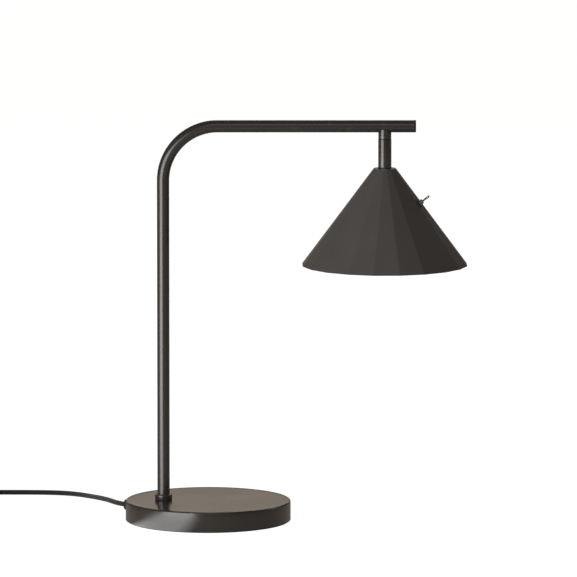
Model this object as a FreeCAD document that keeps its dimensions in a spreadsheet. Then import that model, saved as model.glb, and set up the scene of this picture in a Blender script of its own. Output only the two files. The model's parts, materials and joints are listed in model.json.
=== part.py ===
import FreeCAD, Part
import math
import os
import re
import Sketcher

# Desk lamp with a weighted round base, a bent tube and a faceted cone shade.
# Millimetres. Origin: centre of the base's underside. +Z up, +X along the arm.

Vector = FreeCAD.Vector
Rotation = FreeCAD.Rotation
Placement = FreeCAD.Placement

SIZES = {
    # base
    "base_dia": 200, "base_top": 25.5, "cover_foot": 1.5, "cover_wall": 1.5, "cover_round": 2,
    "pad_dia": 196.4, "pad_thick": 2, "plate_dia": 195, "plate_thick": 1.5,
    "weight_dia": 196, "chamber_top": 21, "chamber_left": -97, "chamber_right": -20,
    "chamber_front": -17, "chamber_back": 31, "plate_screw_dia": 4, "plate_screw_ring": 160,
    "plate_screw_head": 7.4, "plate_screw_long": 12, "plate_screw_count": 4,
    "plate_screw_start": 45,
    # pole, bend and arm
    "pole_x": -54, "tube_dia": 15, "tube_wall": 1.5, "bend_radius": 66, "arm_z": 481.3,
    "arm_end": 251.2, "cap_thick": 2.2, "cap_spigot": 8, "collar_dia": 20.6, "collar_high": 7,
    "collar_round": 1.2, "pole_rod_dia": 10, "pole_rod_bore": 7, "pole_rod_foot": 12,
    "pole_rod_long": 27, "pole_insert_long": 16, "pole_nut_flats": 14, "pole_nut_high": 5,
    "pole_washer_dia": 24, "pole_washer_thick": 1.5,
    # swivel under the arm
    "stem_x": 213.6, "boss_dia": 15.7, "boss_drop": 3.4, "seam_z": 466.4,
    "friction_dia": 15.1, "friction_thick": 0.5, "swivel_gap": 0.1, "bolt_dia": 8,
    "bolt_bore": 5, "bolt_foot": 443.5, "bolt_top": 474.5, "bolt_play": 0.06,
    "stem_dia": 16, "stem_wall": 1.5, "bush_long": 12, "wave_thick": 1, "wave_dia": 12,
    "swivel_nut_flats": 10, "swivel_nut_high": 4,
    # shade
    "shade_top_z": 430.3, "shade_top_radius": 13.46, "shade_rim_z": 313, "shade_rim_radius": 100.7,
    "shade_hem": 0.4, "shade_wall": 1, "facet_count": 20, "facet_start": 10, "shade_hole": 10.4,
    "stem_foot_long": 10, "holder_rod_dia": 10, "holder_rod_bore": 7, "holder_rod_foot": 418,
    "holder_rod_long": 21, "shade_washer_dia": 22, "shade_washer_thick": 1.5,
    "shade_nut_flats": 14, "shade_nut_high": 4,
    # lamp holder and bulb
    "holder_top": 423.8, "holder_dia": 28, "holder_neck_dia": 14, "holder_neck_high": 5,
    "holder_roof": 1, "holder_wall": 1.6, "skirt_foot": 377, "skirt_top": 405.8,
    "insert_thick": 6, "shell_bore": 14.1, "shell_wall": 0.5, "shell_high": 20,
    "bulb_cap_dia": 13.8, "bulb_cap_foot": 379, "bulb_cap_top": 397, "bulb_contact_dia": 5,
    "bulb_contact_top": 399.5, "bulb_dia": 45, "bulb_middle": 348, "bulb_neck_dia": 22,
    "bulb_neck_z": 379, "bulb_glass_wall": 0.9, "bulb_neck_lean": 31.8,
    # toggle switch on the shade
    "switch_azimuth": -17, "switch_z": 389.2, "switch_hole": 6.2, "switch_long": 13,
    "switch_wide": 8, "switch_deep": 10, "bushing_dia": 6, "bushing_bore": 4.3,
    "bushing_high": 4.8, "lock_ring_dia": 10, "lock_ring_thick": 0.6, "switch_nut_flats": 8,
    "switch_nut_high": 2, "lever_pivot": 2.5, "lever_ball": 3.5, "lever_root": 2, "lever_tip": 3,
    "lever_long": 14.4, "lever_tilt": 12.5, "lever_pin_dia": 1.2, "lever_pin_long": 3.9,
    "terminal_long": 4, "terminal_wide": 2, "terminal_thick": 0.8, "terminal_pitch": 4.7,
    # cord inlet and wiring
    "gland_azimuth": 168, "gland_z": 16, "gland_dia": 13, "gland_proud": 4.6, "gland_neck": 10.6,
    "gland_inside": 4, "gland_seat": 0.6, "gland_round": 3.2, "passage_dia": 13.6,
    "cord_dia": 6, "lead_dia": 4.4, "wire_dia": 2, "tail_z": 18, "tail_straight": 11,
    "tail_bend": 14, "tail_past_clamp": 8, "clamp_x": -81, "clamp_y": 7.2,
    "clamp_turn": -21, "clamp_long": 22,
    "clamp_wide": 7, "clamp_thick": 3, "clamp_gap": 14, "small_screw_dia": 3,
    "small_screw_head": 5.5, "small_head_high": 2, "tapped_deep": 2, "block_x": -31, "block_y": 9,
    "block_long": 20, "block_wide": 16, "block_high": 11, "terminal_screw_dia": 3.6,
    "terminal_screw_proud": 0.8, "terminal_screw_gap": 10, "terminal_screw_row": 8,
    # the cord's two cores, the lead in the tube and the switch's wires
    "core_gap": 2.6, "core_z": 14, "core_x": -60, "core_y": 13, "core_entry_y": 12.5,
    "core_entry_long": 4, "core_entry_gap": 3, "core_bend": 2, "core_wide_bend": 4,
    "lead_y": 5, "lead_z": 12.6, "lead_side_x": 5.5, "lead_side_y": 3, "lead_below_rod": 4,
    "lead_bend": 3, "lead_foot_bend": 3.2, "lead_drop_bend": 5.5, "lead_joint_gap": 0.5,
    "switch_wire_down": 6, "switch_wire_out": 7, "switch_wire_y": 2.5, "switch_wire_low": 6,
    "switch_wire_gap": 0.2,
    # coil of spare cord and plug
    "coil_x": -309, "coil_y": 150, "coil_inner": 21, "coil_outer": 45.2, "coil_foot": 0.8,
    "coil_high": 12.2, "coil_round": 2.6, "tie_wide": 9, "tie_thick": 0.8, "tie_azimuth": 300,
    "plug_x": -350.5, "plug_y": 74, "plug_long": 34, "plug_wide": 26, "plug_high": 13,
    "plug_round": 3, "plug_pin_dia": 4, "plug_pin_long": 19, "plug_pin_gap": 18.6,
    "relief_long": 22, "relief_big": 10, "relief_small": 7.4,
}

# Share of a route's shorter run that an arc without a given radius takes up.
BEND_SHARE = 0.45

# Corner points of the cord between the inlet and the coil, and between the coil and the plug.
CORD_ROUTE = [
    (-97.1, 19.2, 16.0), (-110.5, 32.5, 16.0), (-120.8, 64.2, 14.6), (-131.9, 101.8, 11.2),
    (-145.0, 142.2, 7.0), (-161.1, 176.8, 4.0), (-180.6, 193.3, 3.0), (-206.6, 198.0, 3.0),
    (-262.0, 193.8, 3.8), (-309.0, 192.0, 3.8),
]
PLUG_END_ROUTE = [
    (-351.0, 150.0, 9.8), (-351.9, 126.0, 8.4), (-351.0, 101.0, 6.7), (-350.5, 78.0, 6.5),
]
# First short run of the cord's cores where they leave its sheath.
CORE_FIRST_STEP = Vector(5, 3, -2)

doc = FreeCAD.newDocument("desk_lamp")
sheet = doc.addObject("Spreadsheet::Sheet", "sizes")
for row, (alias, number) in enumerate(SIZES.items(), start=1):
    sheet.set(f"A{row}", alias)
    sheet.set(f"B{row}", str(number))
    sheet.setAlias(f"B{row}", alias)
doc.recompute()

NODES = []


def size(alias):
    """One driving dimension, read from the sheet."""
    return float(sheet.get(alias))


def bind(thing, **expressions):
    """Bind properties to sheet expressions; a bare alias stands for its cell."""
    for prop, expression in expressions.items():
        thing.setExpression(prop.replace("__", "."), with_sheet(expression))


def with_sheet(expression):
    """Write an expression's aliases as sheet references."""
    return re.sub(r"[A-Za-z_]\w*",
                  lambda word: "sizes." + word[0] if word[0] in SIZES else word[0], expression)


def keep(thing, label, place=None):
    """Name a finished sub-part and remember it for export."""
    thing.Label = label
    if place is not None:
        thing.Placement = place
    NODES.append(thing)
    return thing


def origin_plane(body, role):
    for feature in body.Origin.OriginFeatures:
        if feature.Role == role:
            return feature
    raise ValueError(role)


def sketch_on(body, name, role="XZ_Plane"):
    """A sketch flat on one of its own body's origin planes."""
    sketch = body.newObject("Sketcher::SketchObject", name)
    sketch.AttachmentSupport = [(origin_plane(body, role), "")]
    sketch.MapMode = "FlatFace"
    return sketch


# ---------------------------------------------------------------- sketch helpers
def pin_point(sketch, geometry, point, across, up):
    """Hold a point at two expressions, measured from the sketch's origin."""
    for kind, axis, expression in (("DistanceX", -2, across), ("DistanceY", -1, up)):
        value = float(sketch.evalExpression(with_sheet(expression)))
        if abs(value) < 1e-9:
            sketch.addConstraint(Sketcher.Constraint("PointOnObject", geometry, point, axis))
            continue
        index = sketch.addConstraint(Sketcher.Constraint(kind, -1, 1, geometry, point, value))
        sketch.setExpression(f"Constraints[{index}]", with_sheet(expression))


def draw_outline(sketch, outline):
    """A closed outline of straight lines through points given as pairs of expressions."""
    spots = [Vector(float(sketch.evalExpression(with_sheet(across))),
                    float(sketch.evalExpression(with_sheet(up))), 0) for across, up in outline]
    count = len(spots)
    for index in range(count):
        sketch.addGeometry(Part.LineSegment(spots[index], spots[(index + 1) % count]), False)
    for index in range(count):
        sketch.addConstraint(Sketcher.Constraint("Coincident", index, 2, (index + 1) % count, 1))
    for index, (across, up) in enumerate(outline):
        pin_point(sketch, index, 1, across, up)


def draw_circle(sketch, diameter, across="0", up="0"):
    """A circle whose diameter and centre are expressions."""
    radius = float(sketch.evalExpression(with_sheet(diameter))) / 2
    spot = Vector(float(sketch.evalExpression(with_sheet(across))),
                  float(sketch.evalExpression(with_sheet(up))), 0)
    index = sketch.addGeometry(Part.Circle(spot, Vector(0, 0, 1), radius), False)
    pin_point(sketch, index, 3, across, up)
    held = sketch.addConstraint(Sketcher.Constraint("Diameter", index, 2 * radius))
    sketch.setExpression(f"Constraints[{held}]", with_sheet(diameter))


def draw_polygon(sketch, count, radius, start):
    """A regular polygon with its corners on a construction circle."""
    reach = float(sketch.evalExpression(with_sheet(radius)))
    corners = [Vector(reach * math.cos(math.radians(start + 360 * k / count)),
                      reach * math.sin(math.radians(start + 360 * k / count)), 0)
               for k in range(count)]
    ring = sketch.addGeometry(Part.Circle(Vector(0, 0, 0), Vector(0, 0, 1), reach), True)
    sketch.addConstraint(Sketcher.Constraint("Coincident", ring, 3, -1, 1))
    held = sketch.addConstraint(Sketcher.Constraint("Radius", ring, reach))
    sketch.setExpression(f"Constraints[{held}]", with_sheet(radius))
    for k in range(count):
        sketch.addGeometry(Part.LineSegment(corners[k], corners[(k + 1) % count]), False)
    for k in range(count):
        this, following = ring + 1 + k, ring + 1 + (k + 1) % count
        sketch.addConstraint(Sketcher.Constraint("Coincident", this, 2, following, 1))
        sketch.addConstraint(Sketcher.Constraint("PointOnObject", this, 1, ring))
        if k:
            sketch.addConstraint(Sketcher.Constraint("Equal", ring + 1, this))
    sketch.addConstraint(Sketcher.Constraint("DistanceY", -1, 1, ring + 1, 1, corners[0].y))


# ---------------------------------------------------------------- solid helpers
def turned_body(name, outline):
    """A body turned about its own Z axis from an outline of (radius, height) expressions."""
    body = doc.addObject("PartDesign::Body", name + "_body")
    sketch = sketch_on(body, name + "_outline")
    draw_outline(sketch, outline)
    turn = body.newObject("PartDesign::Revolution", name + "_turn")
    turn.Profile = sketch
    turn.ReferenceAxis = (sketch, ["V_Axis"])
    turn.Angle = 360
    sketch.Visibility = False
    doc.recompute()
    return body


def turned(label, outline, place=None):
    return keep(turned_body(label, outline), label, place)


def soften(body, alias, chosen):
    """Fillet the edges of a body's tip that a test picks out."""
    base = body.Tip
    edges = [f"Edge{k}" for k, edge in enumerate(base.Shape.Edges, start=1) if chosen(edge)]
    if not edges:
        raise ValueError("no edge to soften on " + body.Name)
    fillet = body.newObject("PartDesign::Fillet", body.Name + "_soft")
    fillet.Base = (base, edges)
    fillet.Radius = size(alias)
    bind(fillet, Radius=alias)
    doc.recompute()
    return fillet


def ring_edge(radius, height):
    """Test for a full circular edge of one radius at one height."""
    def test(edge):
        curve = edge.Curve
        return (isinstance(curve, Part.Circle) and abs(curve.Radius - radius) < 1e-3
                and abs(curve.Center.z - height) < 1e-3)
    return test


def rod(name, diameter, length, place=None):
    """A plain cylinder primitive bound to the sheet."""
    thing = doc.addObject("Part::Cylinder", name)
    bind(thing, Radius=f"({diameter}) / 2", Height=length)
    if place is not None:
        thing.Placement = place
    return thing


def block(name, length, width, height, place=None):
    """A box primitive bound to the sheet, standing on its corner."""
    thing = doc.addObject("Part::Box", name)
    bind(thing, Length=length, Width=width, Height=height)
    if place is not None:
        thing.Placement = place
    return thing


def cut(name, base, tool):
    thing = doc.addObject("Part::Cut", name)
    thing.Base = base
    thing.Tool = tool
    return thing


def fuse(name, pieces):
    thing = doc.addObject("Part::MultiFuse", name)
    thing.Shapes = pieces
    return thing


def at(x=0.0, y=0.0, z=0.0, rotation=None):
    return Placement(Vector(x, y, z), rotation or Rotation())


def ring_outline(outer, inner, height):
    """A plain ring's section: outer and inner diameters and a height."""
    return [(f"({inner}) / 2", "0"), (f"({outer}) / 2", "0"), (f"({outer}) / 2", height),
            (f"({inner}) / 2", height)]


def hexagon_nut(label, flats, bore, height, place):
    """A hexagon nut: a six-sided prism with a bore."""
    prism = doc.addObject("Part::Prism", label + "_hexagon")
    prism.Polygon = 6
    bind(prism, Circumradius=f"{flats} / sqrt(3)", Height=height)
    hole = rod(label + "_bore", bore, height)
    return keep(cut(label + "_cut", prism, hole), label, place)


def screws(label, places, foot, shank):
    """Identical small screws as separate solids; a head below, a shank rising from it."""
    pieces = []
    for number, place in enumerate(places, start=1):
        head = rod(f"{label}_head_{number}", "small_screw_head", "small_head_high",
                   place.multiply(at(z=foot - size("small_head_high"))))
        stalk = rod(f"{label}_shank_{number}", "small_screw_dia", shank, place.multiply(at(z=foot)))
        pieces.append(fuse(f"{label}_{number}", [head, stalk]))
    return keep(pieces[0] if len(pieces) == 1 else fuse(label + "_group", pieces), label)


def feature(label, shape, place=None):
    """A sub-part whose shape is worked out in code from the sheet's sizes."""
    thing = doc.addObject("Part::Feature", label + "_shape")
    thing.Shape = shape
    return keep(thing, label, place)


# ---------------------------------------------------------------- routed leads
def rounded_path(points, bends=None):
    """Straight runs joined by tangent arcs. Returns the wire and the arcs' radii."""
    corners = [Vector(*point) for point in points]
    edges, radii, last = [], [], corners[0]
    for number, (before, corner, after) in enumerate(zip(corners, corners[1:], corners[2:])):
        towards = (corner - before).normalize()
        away = (after - corner).normalize()
        turn = towards.getAngle(away)
        shorter = min((corner - before).Length, (after - corner).Length)
        bend = bends[number] if bends else BEND_SHARE * shorter / math.tan(turn / 2)
        back = bend * math.tan(turn / 2)
        start, end = corner - towards * back, corner + away * back
        inward = (away - towards).normalize()
        middle = corner + inward * (bend / math.cos(turn / 2) - bend)
        edges.append(Part.LineSegment(last, start).toShape())
        edges.append(Part.Arc(start, middle, end).toShape())
        radii.append(bend)
        last = end
    edges.append(Part.LineSegment(last, corners[-1]).toShape())
    return Part.Wire(edges), radii


def tube_along(wire, diameter):
    """A round solid swept along a smooth wire."""
    first = wire.Edges[0]
    start, along = first.valueAt(first.FirstParameter), first.tangentAt(first.FirstParameter)
    circle = Part.Wire([Part.Circle(start, along, diameter / 2).toShape()])
    return wire.makePipeShell([circle], True, False)


def cord_piece(label, points):
    """A stretch of the mains cord; prints its radii and checks its volume."""
    wire, radii = rounded_path(points)
    solid = tube_along(wire, size("cord_dia"))
    expected = math.pi * size("cord_dia") ** 2 / 4 * wire.Length
    print(label, "length %.1f" % wire.Length, "radii", ["%.0f" % r for r in radii],
          "volume ratio %.4f" % (solid.Volume / expected))
    return feature(label, solid)


# ---------------------------------------------------------------- base
def make_base():
    turned("foot_pad", [("0", "0"), ("pad_dia / 2", "0"), ("pad_dia / 2", "pad_thick"),
                        ("0", "pad_thick")])

    plate = turned_body("bottom_plate", [
        ("0", "0"), ("plate_dia / 2", "0"), ("plate_dia / 2", "plate_thick"), ("0", "plate_thick")])
    spots = plate_screw_places(0)
    sinks = [plate_screw_head(f"plate_sink_{k}", spot) for k, spot in enumerate(spots)]
    keep(cut("bottom_plate_cut", plate, fuse("plate_sinks", sinks)), "bottom_plate",
         at(z=size("pad_thick")))

    make_base_weight()
    make_base_cover()

    pieces = []
    for number, place in enumerate(plate_screw_places(size("pad_thick")), start=1):
        head = plate_screw_head(f"plate_screw_head_{number}", place)
        shank = rod(f"plate_screw_shank_{number}", "plate_screw_dia", "plate_screw_long", place)
        pieces.append(fuse(f"plate_screw_{number}", [head, shank]))
    keep(fuse("plate_screws_group", pieces), "bottom_plate_screws")


def plate_screw_head(name, place):
    """Countersunk cone, as deep as the bottom plate."""
    head = doc.addObject("Part::Cone", name)
    bind(head, Radius1="plate_screw_head / 2", Radius2="plate_screw_dia / 2", Height="plate_thick")
    head.Placement = place
    return head


def plate_screw_places(height):
    """Where the bottom plate's screws stand, evenly round the plate."""
    count = int(size("plate_screw_count"))
    ring = size("plate_screw_ring") / 2
    turns = [math.radians(size("plate_screw_start") + 360 * k / count) for k in range(count)]
    return [at(ring * math.cos(turn), ring * math.sin(turn), height) for turn in turns]


def make_base_weight():
    """Cast disc with a wiring chamber open below and a hole for the pole's rod."""
    foot = size("pad_thick") + size("plate_thick")
    disc = turned_body("base_weight", [
        ("0", "pad_thick + plate_thick"), ("weight_dia / 2", "pad_thick + plate_thick"),
        ("weight_dia / 2", "base_top - cover_wall"), ("0", "base_top - cover_wall")])
    chamber = block("chamber", "chamber_right - chamber_left", "chamber_back - chamber_front",
                    "chamber_top - pad_thick - plate_thick",
                    at(size("chamber_left"), size("chamber_front"), foot))
    rod_hole = rod("weight_rod_hole", "pole_rod_dia", "base_top", at(size("pole_x")))
    tapped = [rod(f"weight_tap_{k}", "plate_screw_dia", "plate_screw_long - plate_thick", spot)
              for k, spot in enumerate(plate_screw_places(foot))]
    passage = rod("gland_passage", "passage_dia", "base_dia / 8",
                  gland_place(-size("base_dia") / 8))
    taps = [rod(f"chamber_tap_{k}", "small_screw_dia", "tapped_deep",
                spot.multiply(at(z=size("chamber_top"))))
            for k, spot in enumerate(clamp_screw_places() + [block_place()])]
    cuts = [chamber, rod_hole, passage] + tapped + taps
    keep(cut("base_weight_cut", disc, fuse("weight_cuts", cuts)), "base_weight")


def make_base_cover():
    """Spun shell: a flat top and a skirt with a rounded upper edge."""
    shell = turned_body("base_cover", [
        ("base_dia / 2 - cover_wall", "cover_foot"), ("base_dia / 2", "cover_foot"),
        ("base_dia / 2", "base_top"), ("0", "base_top"), ("0", "base_top - cover_wall"),
        ("base_dia / 2 - cover_wall", "base_top - cover_wall")])
    soften(shell, "cover_round", ring_edge(size("base_dia") / 2, size("base_top")))
    holes = [rod("cover_rod_hole", "pole_rod_dia", "base_top + cover_wall", at(size("pole_x"))),
             rod("cover_gland_hole", "gland_neck", "base_dia / 4",
                 gland_place(-size("base_dia") / 4))]
    keep(cut("base_cover_cut", shell, fuse("cover_cuts", holes)), "base_cover")


# ---------------------------------------------------------------- pole, bend and arm
def make_pole():
    tube = doc.addObject("PartDesign::Body", "lamp_tube_body")
    ring = sketch_on(tube, "tube_section", "XY_Plane")
    draw_circle(ring, "tube_dia")
    draw_circle(ring, "tube_dia - 2 * tube_wall")
    path = sketch_on(tube, "tube_path")
    draw_tube_path(path)
    doc.recompute()
    pipe = tube.newObject("PartDesign::AdditivePipe", "tube_pipe")
    pipe.Profile = ring
    pipe.Spine = (path, ["Edge1", "Edge2", "Edge3"])
    doc.recompute()
    wire_hole = sketch_on(tube, "arm_hole", "XY_Plane")
    draw_circle(wire_hole, "bolt_dia", "stem_x - pole_x")
    pocket = tube.newObject("PartDesign::Pocket", "arm_hole_pocket")
    pocket.Profile = wire_hole
    pocket.Reversed = True
    bind(pocket, Length="arm_z - base_top")
    doc.recompute()
    keep(tube, "lamp_tube", at(size("pole_x"), 0, size("base_top")))

    across = Rotation(Vector(0, 1, 0), 90)
    turned("arm_end_cap", [
        ("0", "0"), ("tube_dia / 2 - tube_wall", "0"), ("tube_dia / 2 - tube_wall", "cap_spigot"),
        ("tube_dia / 2", "cap_spigot"), ("tube_dia / 2", "cap_spigot + cap_thick"),
        ("0", "cap_spigot + cap_thick")],
        at(size("arm_end") - size("cap_thick") - size("cap_spigot"), 0, size("arm_z"), across))

    collar = turned_body("foot_collar", ring_outline("collar_dia", "tube_dia", "collar_high"))
    soften(collar, "collar_round", ring_edge(size("collar_dia") / 2, size("collar_high")))
    keep(collar, "foot_collar", at(size("pole_x"), 0, size("base_top")))

    turned("pole_insert", ring_outline("tube_dia - 2 * tube_wall", "pole_rod_dia",
                                       "pole_insert_long"),
           at(size("pole_x"), 0, size("base_top")))
    turned("pole_rod", ring_outline("pole_rod_dia", "pole_rod_bore", "pole_rod_long"),
           at(size("pole_x"), 0, size("pole_rod_foot")))
    washer_z = size("chamber_top") - size("pole_washer_thick")
    turned("pole_washer", ring_outline("pole_washer_dia", "pole_rod_dia", "pole_washer_thick"),
           at(size("pole_x"), 0, washer_z))
    hexagon_nut("pole_nut", "pole_nut_flats", "pole_rod_dia", "pole_nut_high",
                at(size("pole_x"), 0, washer_z - size("pole_nut_high")))


def draw_tube_path(sketch):
    """Centre line of the tube: up the pole, round the bend and along the arm."""
    bend, rise = size("bend_radius"), size("arm_z") - size("base_top")
    reach = size("arm_end") - size("cap_thick") - size("pole_x")
    low, high = Vector(0, rise - bend, 0), Vector(bend, rise, 0)
    centre = Vector(bend, rise - bend, 0)
    sketch.addGeometry(Part.LineSegment(Vector(0, 0, 0), low), False)
    sketch.addGeometry(Part.ArcOfCircle(Part.Circle(centre, Vector(0, 0, 1), bend),
                                        math.pi / 2, math.pi), False)
    sketch.addGeometry(Part.LineSegment(high, Vector(reach, rise, 0)), False)
    sketch.addConstraint(Sketcher.Constraint("Coincident", 0, 1, -1, 1))
    sketch.addConstraint(Sketcher.Constraint("Coincident", 0, 2, 1, 2))
    sketch.addConstraint(Sketcher.Constraint("Coincident", 1, 1, 2, 1))
    pin_point(sketch, 0, 2, "0", "arm_z - base_top - bend_radius")
    held = sketch.addConstraint(Sketcher.Constraint("Radius", 1, bend))
    sketch.setExpression(f"Constraints[{held}]", with_sheet("bend_radius"))
    pin_point(sketch, 2, 1, "bend_radius", "arm_z - base_top")
    pin_point(sketch, 2, 2, "arm_end - cap_thick - pole_x", "arm_z - base_top")


# ---------------------------------------------------------------- swivel under the arm
def make_swivel():
    """Fixed half: boss, hollow bolt, friction washer, wave washer and nut."""
    stem_x = size("stem_x")
    boss = turned_body("arm_boss", [
        ("bolt_dia / 2", "seam_z"), ("boss_dia / 2", "seam_z"),
        ("boss_dia / 2", "arm_z - boss_drop"), ("bolt_dia / 2", "arm_z - boss_drop")])
    saddle = rod("boss_saddle", "tube_dia", "3 * tube_dia",
                 at(-1.5 * size("tube_dia"), 0, size("arm_z"), Rotation(Vector(0, 1, 0), 90)))
    keep(cut("arm_boss_cut", boss, saddle), "arm_boss", at(stem_x))

    turned("swivel_bolt", [("bolt_bore / 2", "bolt_foot"), ("bolt_dia / 2", "bolt_foot"),
                           ("bolt_dia / 2", "bolt_top"), ("bolt_bore / 2", "bolt_top")],
           at(stem_x))
    turned("friction_washer", ring_outline("friction_dia", "bolt_dia", "friction_thick"),
           at(stem_x, 0, size("seam_z") - size("friction_thick")))
    bush_foot = stem_top() - size("bush_long")
    wave_foot = bush_foot - size("swivel_gap") - size("wave_thick")
    turned("wave_washer", ring_outline("wave_dia", "bolt_dia", "wave_thick"),
           at(stem_x, 0, wave_foot))
    hexagon_nut("swivel_nut", "swivel_nut_flats", "bolt_dia", "swivel_nut_high",
                at(stem_x, 0, wave_foot - size("swivel_nut_high")))


def stem_top():
    """Height of the turning stem's upper face, just under the friction washer."""
    return size("seam_z") - size("friction_thick") - size("swivel_gap")


def make_stem():
    """Turning half: stem tube with a bush at its top and a threaded foot."""
    stem_x, foot, top = size("stem_x"), size("shade_top_z"), stem_top()
    turned("stem_tube", ring_outline("stem_dia", "stem_dia - 2 * stem_wall",
                                     "seam_z - friction_thick - swivel_gap - shade_top_z"),
           at(stem_x, 0, foot))
    turned("stem_bush", ring_outline("stem_dia - 2 * stem_wall", "bolt_dia + 2 * bolt_play",
                                     "bush_long"),
           at(stem_x, 0, top - size("bush_long")))
    turned("stem_foot", ring_outline("stem_dia - 2 * stem_wall", "holder_rod_dia",
                                     "stem_foot_long"), at(stem_x, 0, foot))
    turned("holder_rod", ring_outline("holder_rod_dia", "holder_rod_bore", "holder_rod_long"),
           at(stem_x, 0, size("holder_rod_foot")))
    washer_z = foot - size("shade_wall") - size("shade_washer_thick")
    turned("shade_washer", ring_outline("shade_washer_dia", "holder_rod_dia",
                                        "shade_washer_thick"), at(stem_x, 0, washer_z))
    hexagon_nut("shade_nut", "shade_nut_flats", "holder_rod_dia", "shade_nut_high",
                at(stem_x, 0, washer_z - size("shade_nut_high")))


# ---------------------------------------------------------------- shade
def shade_loft(name, top_radius, rim_radius, top_z):
    """A faceted solid cone with a straight hem below it."""
    body = doc.addObject("PartDesign::Body", name)
    count, start = int(size("facet_count")), size("facet_start")
    levels = [(rim_radius, "shade_rim_z - shade_hem"), (rim_radius, "shade_rim_z"),
              (top_radius, top_z)]
    rings = []
    for number, (radius, height) in enumerate(levels):
        ring = sketch_on(body, f"{name}_ring_{number}", "XY_Plane")
        ring.setExpression("AttachmentOffset.Base.z", with_sheet(height))
        draw_polygon(ring, count, radius, start)
        rings.append(ring)
    doc.recompute()
    loft = body.newObject("PartDesign::AdditiveLoft", name + "_loft")
    loft.Profile = rings[0]
    loft.Sections = rings[1:]
    loft.Ruled = True
    doc.recompute()
    return body


def make_shade():
    """Sheet-metal shade: outer cone less an inner one, drilled for the rod and the switch."""
    outer = shade_loft("shade_outer", "shade_top_radius", "shade_rim_radius", "shade_top_z")
    slope = "(shade_rim_radius - shade_top_radius) / (shade_top_z - shade_rim_z)"
    level_wall = f"shade_wall * sqrt(1 + ({slope}) ^ 2)"
    inner = shade_loft("shade_inner", f"shade_top_radius + shade_wall * {slope} - {level_wall}",
                       f"shade_rim_radius - {level_wall}", "shade_top_z - shade_wall")
    shell = cut("shade_shell", outer, inner)
    local = Placement(Vector(-size("stem_x"), 0, 0), Rotation())
    drills = [rod("shade_rod_hole", "shade_hole", "shade_top_z"),
              rod("shade_switch_hole", "switch_hole", "switch_deep",
                  local.multiply(switch_place(-size("switch_deep") / 2)))]
    keep(cut("shade_cut", shell, fuse("shade_drills", drills)), "shade", at(size("stem_x")))


def facet_point():
    """Middle of the switch's facet on the outer face: radius, height and the wall's slope."""
    run = size("shade_rim_radius") - size("shade_top_radius")
    drop = size("shade_top_z") - size("shade_rim_z")
    flat = math.cos(math.pi / size("facet_count"))
    radius = flat * (size("shade_top_radius") + run / drop * (size("shade_top_z") - size("switch_z")))
    return radius, size("switch_z"), math.atan(run * flat / drop)


def switch_place(out=0.0, along=0.0, up=0.0):
    """Frame on the switch's facet: Z square to the wall, X level along it, Y up the slope."""
    radius, height, slope = facet_point()
    turn = math.radians(size("switch_azimuth"))
    outward = Vector(math.cos(turn), math.sin(turn), 0)
    level = Vector(-math.sin(turn), math.cos(turn), 0)
    square = outward * math.cos(slope) + Vector(0, 0, math.sin(slope))
    uphill = square.cross(level)
    spot = Vector(size("stem_x"), 0, height) + outward * radius
    spot = spot + square * out + level * along + uphill * up
    return Placement(spot, Rotation(level, uphill, square, "ZXY"))


# ---------------------------------------------------------------- lamp holder and bulb
def make_holder():
    stem_x = size("stem_x")
    turned("holder_cap", [
        ("holder_rod_dia / 2", "holder_top"), ("holder_neck_dia / 2", "holder_top"),
        ("holder_neck_dia / 2", "holder_top - holder_neck_high"),
        ("holder_dia / 2", "skirt_top"),
        ("holder_dia / 2 - holder_wall", "skirt_top"),
        ("holder_neck_dia / 2 - holder_wall", "holder_top - holder_neck_high - holder_roof"),
        ("holder_rod_dia / 2", "holder_top - holder_neck_high - holder_roof")], at(stem_x))
    turned("holder_skirt", [
        ("holder_dia / 2 - holder_wall", "skirt_foot"), ("holder_dia / 2", "skirt_foot"),
        ("holder_dia / 2", "skirt_top"), ("holder_dia / 2 - holder_wall", "skirt_top")],
        at(stem_x))
    turned("holder_insert", [
        ("0", "skirt_top - insert_thick"),
        ("holder_dia / 2 - holder_wall", "skirt_top - insert_thick"),
        ("holder_dia / 2 - holder_wall", "skirt_top"), ("0", "skirt_top")], at(stem_x))
    turned("screw_shell", [
        ("shell_bore / 2", "skirt_top - insert_thick - shell_high"),
        ("shell_bore / 2 + shell_wall", "skirt_top - insert_thick - shell_high"),
        ("shell_bore / 2 + shell_wall", "skirt_top - insert_thick"),
        ("shell_bore / 2", "skirt_top - insert_thick")], at(stem_x))
    turned("bulb_cap", [
        ("0", "bulb_cap_foot"), ("bulb_cap_dia / 2", "bulb_cap_foot"),
        ("bulb_cap_dia / 2", "bulb_cap_top"), ("bulb_contact_dia / 2", "bulb_contact_top"),
        ("0", "bulb_contact_top")], at(stem_x))
    make_bulb_glass()


def make_bulb_glass():
    """Globe envelope, open at the neck where it is cemented to its cap."""
    joint_z = size("bulb_middle") + size("bulb_dia") / 2 * math.sin(math.radians(
        size("bulb_neck_lean")))
    shapes = []
    for name, inset in (("bulb_outer", "0"), ("bulb_inner", "bulb_glass_wall")):
        globe = doc.addObject("Part::Sphere", name + "_globe")
        bind(globe, Radius=f"bulb_dia / 2 - {inset}")
        globe.Placement = at(z=size("bulb_middle"))
        neck = doc.addObject("Part::Cone", name + "_neck")
        bind(neck, Radius1=f"bulb_dia / 2 * cos(bulb_neck_lean) - {inset}",
             Radius2=f"bulb_neck_dia / 2 - {inset}",
             Height="bulb_neck_z - bulb_middle - bulb_dia / 2 * sin(bulb_neck_lean)")
        neck.Placement = at(z=joint_z)
        shapes.append(fuse(name, [globe, neck]))
    keep(cut("bulb_glass_cut", *shapes), "bulb_glass", at(size("stem_x")))


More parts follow.
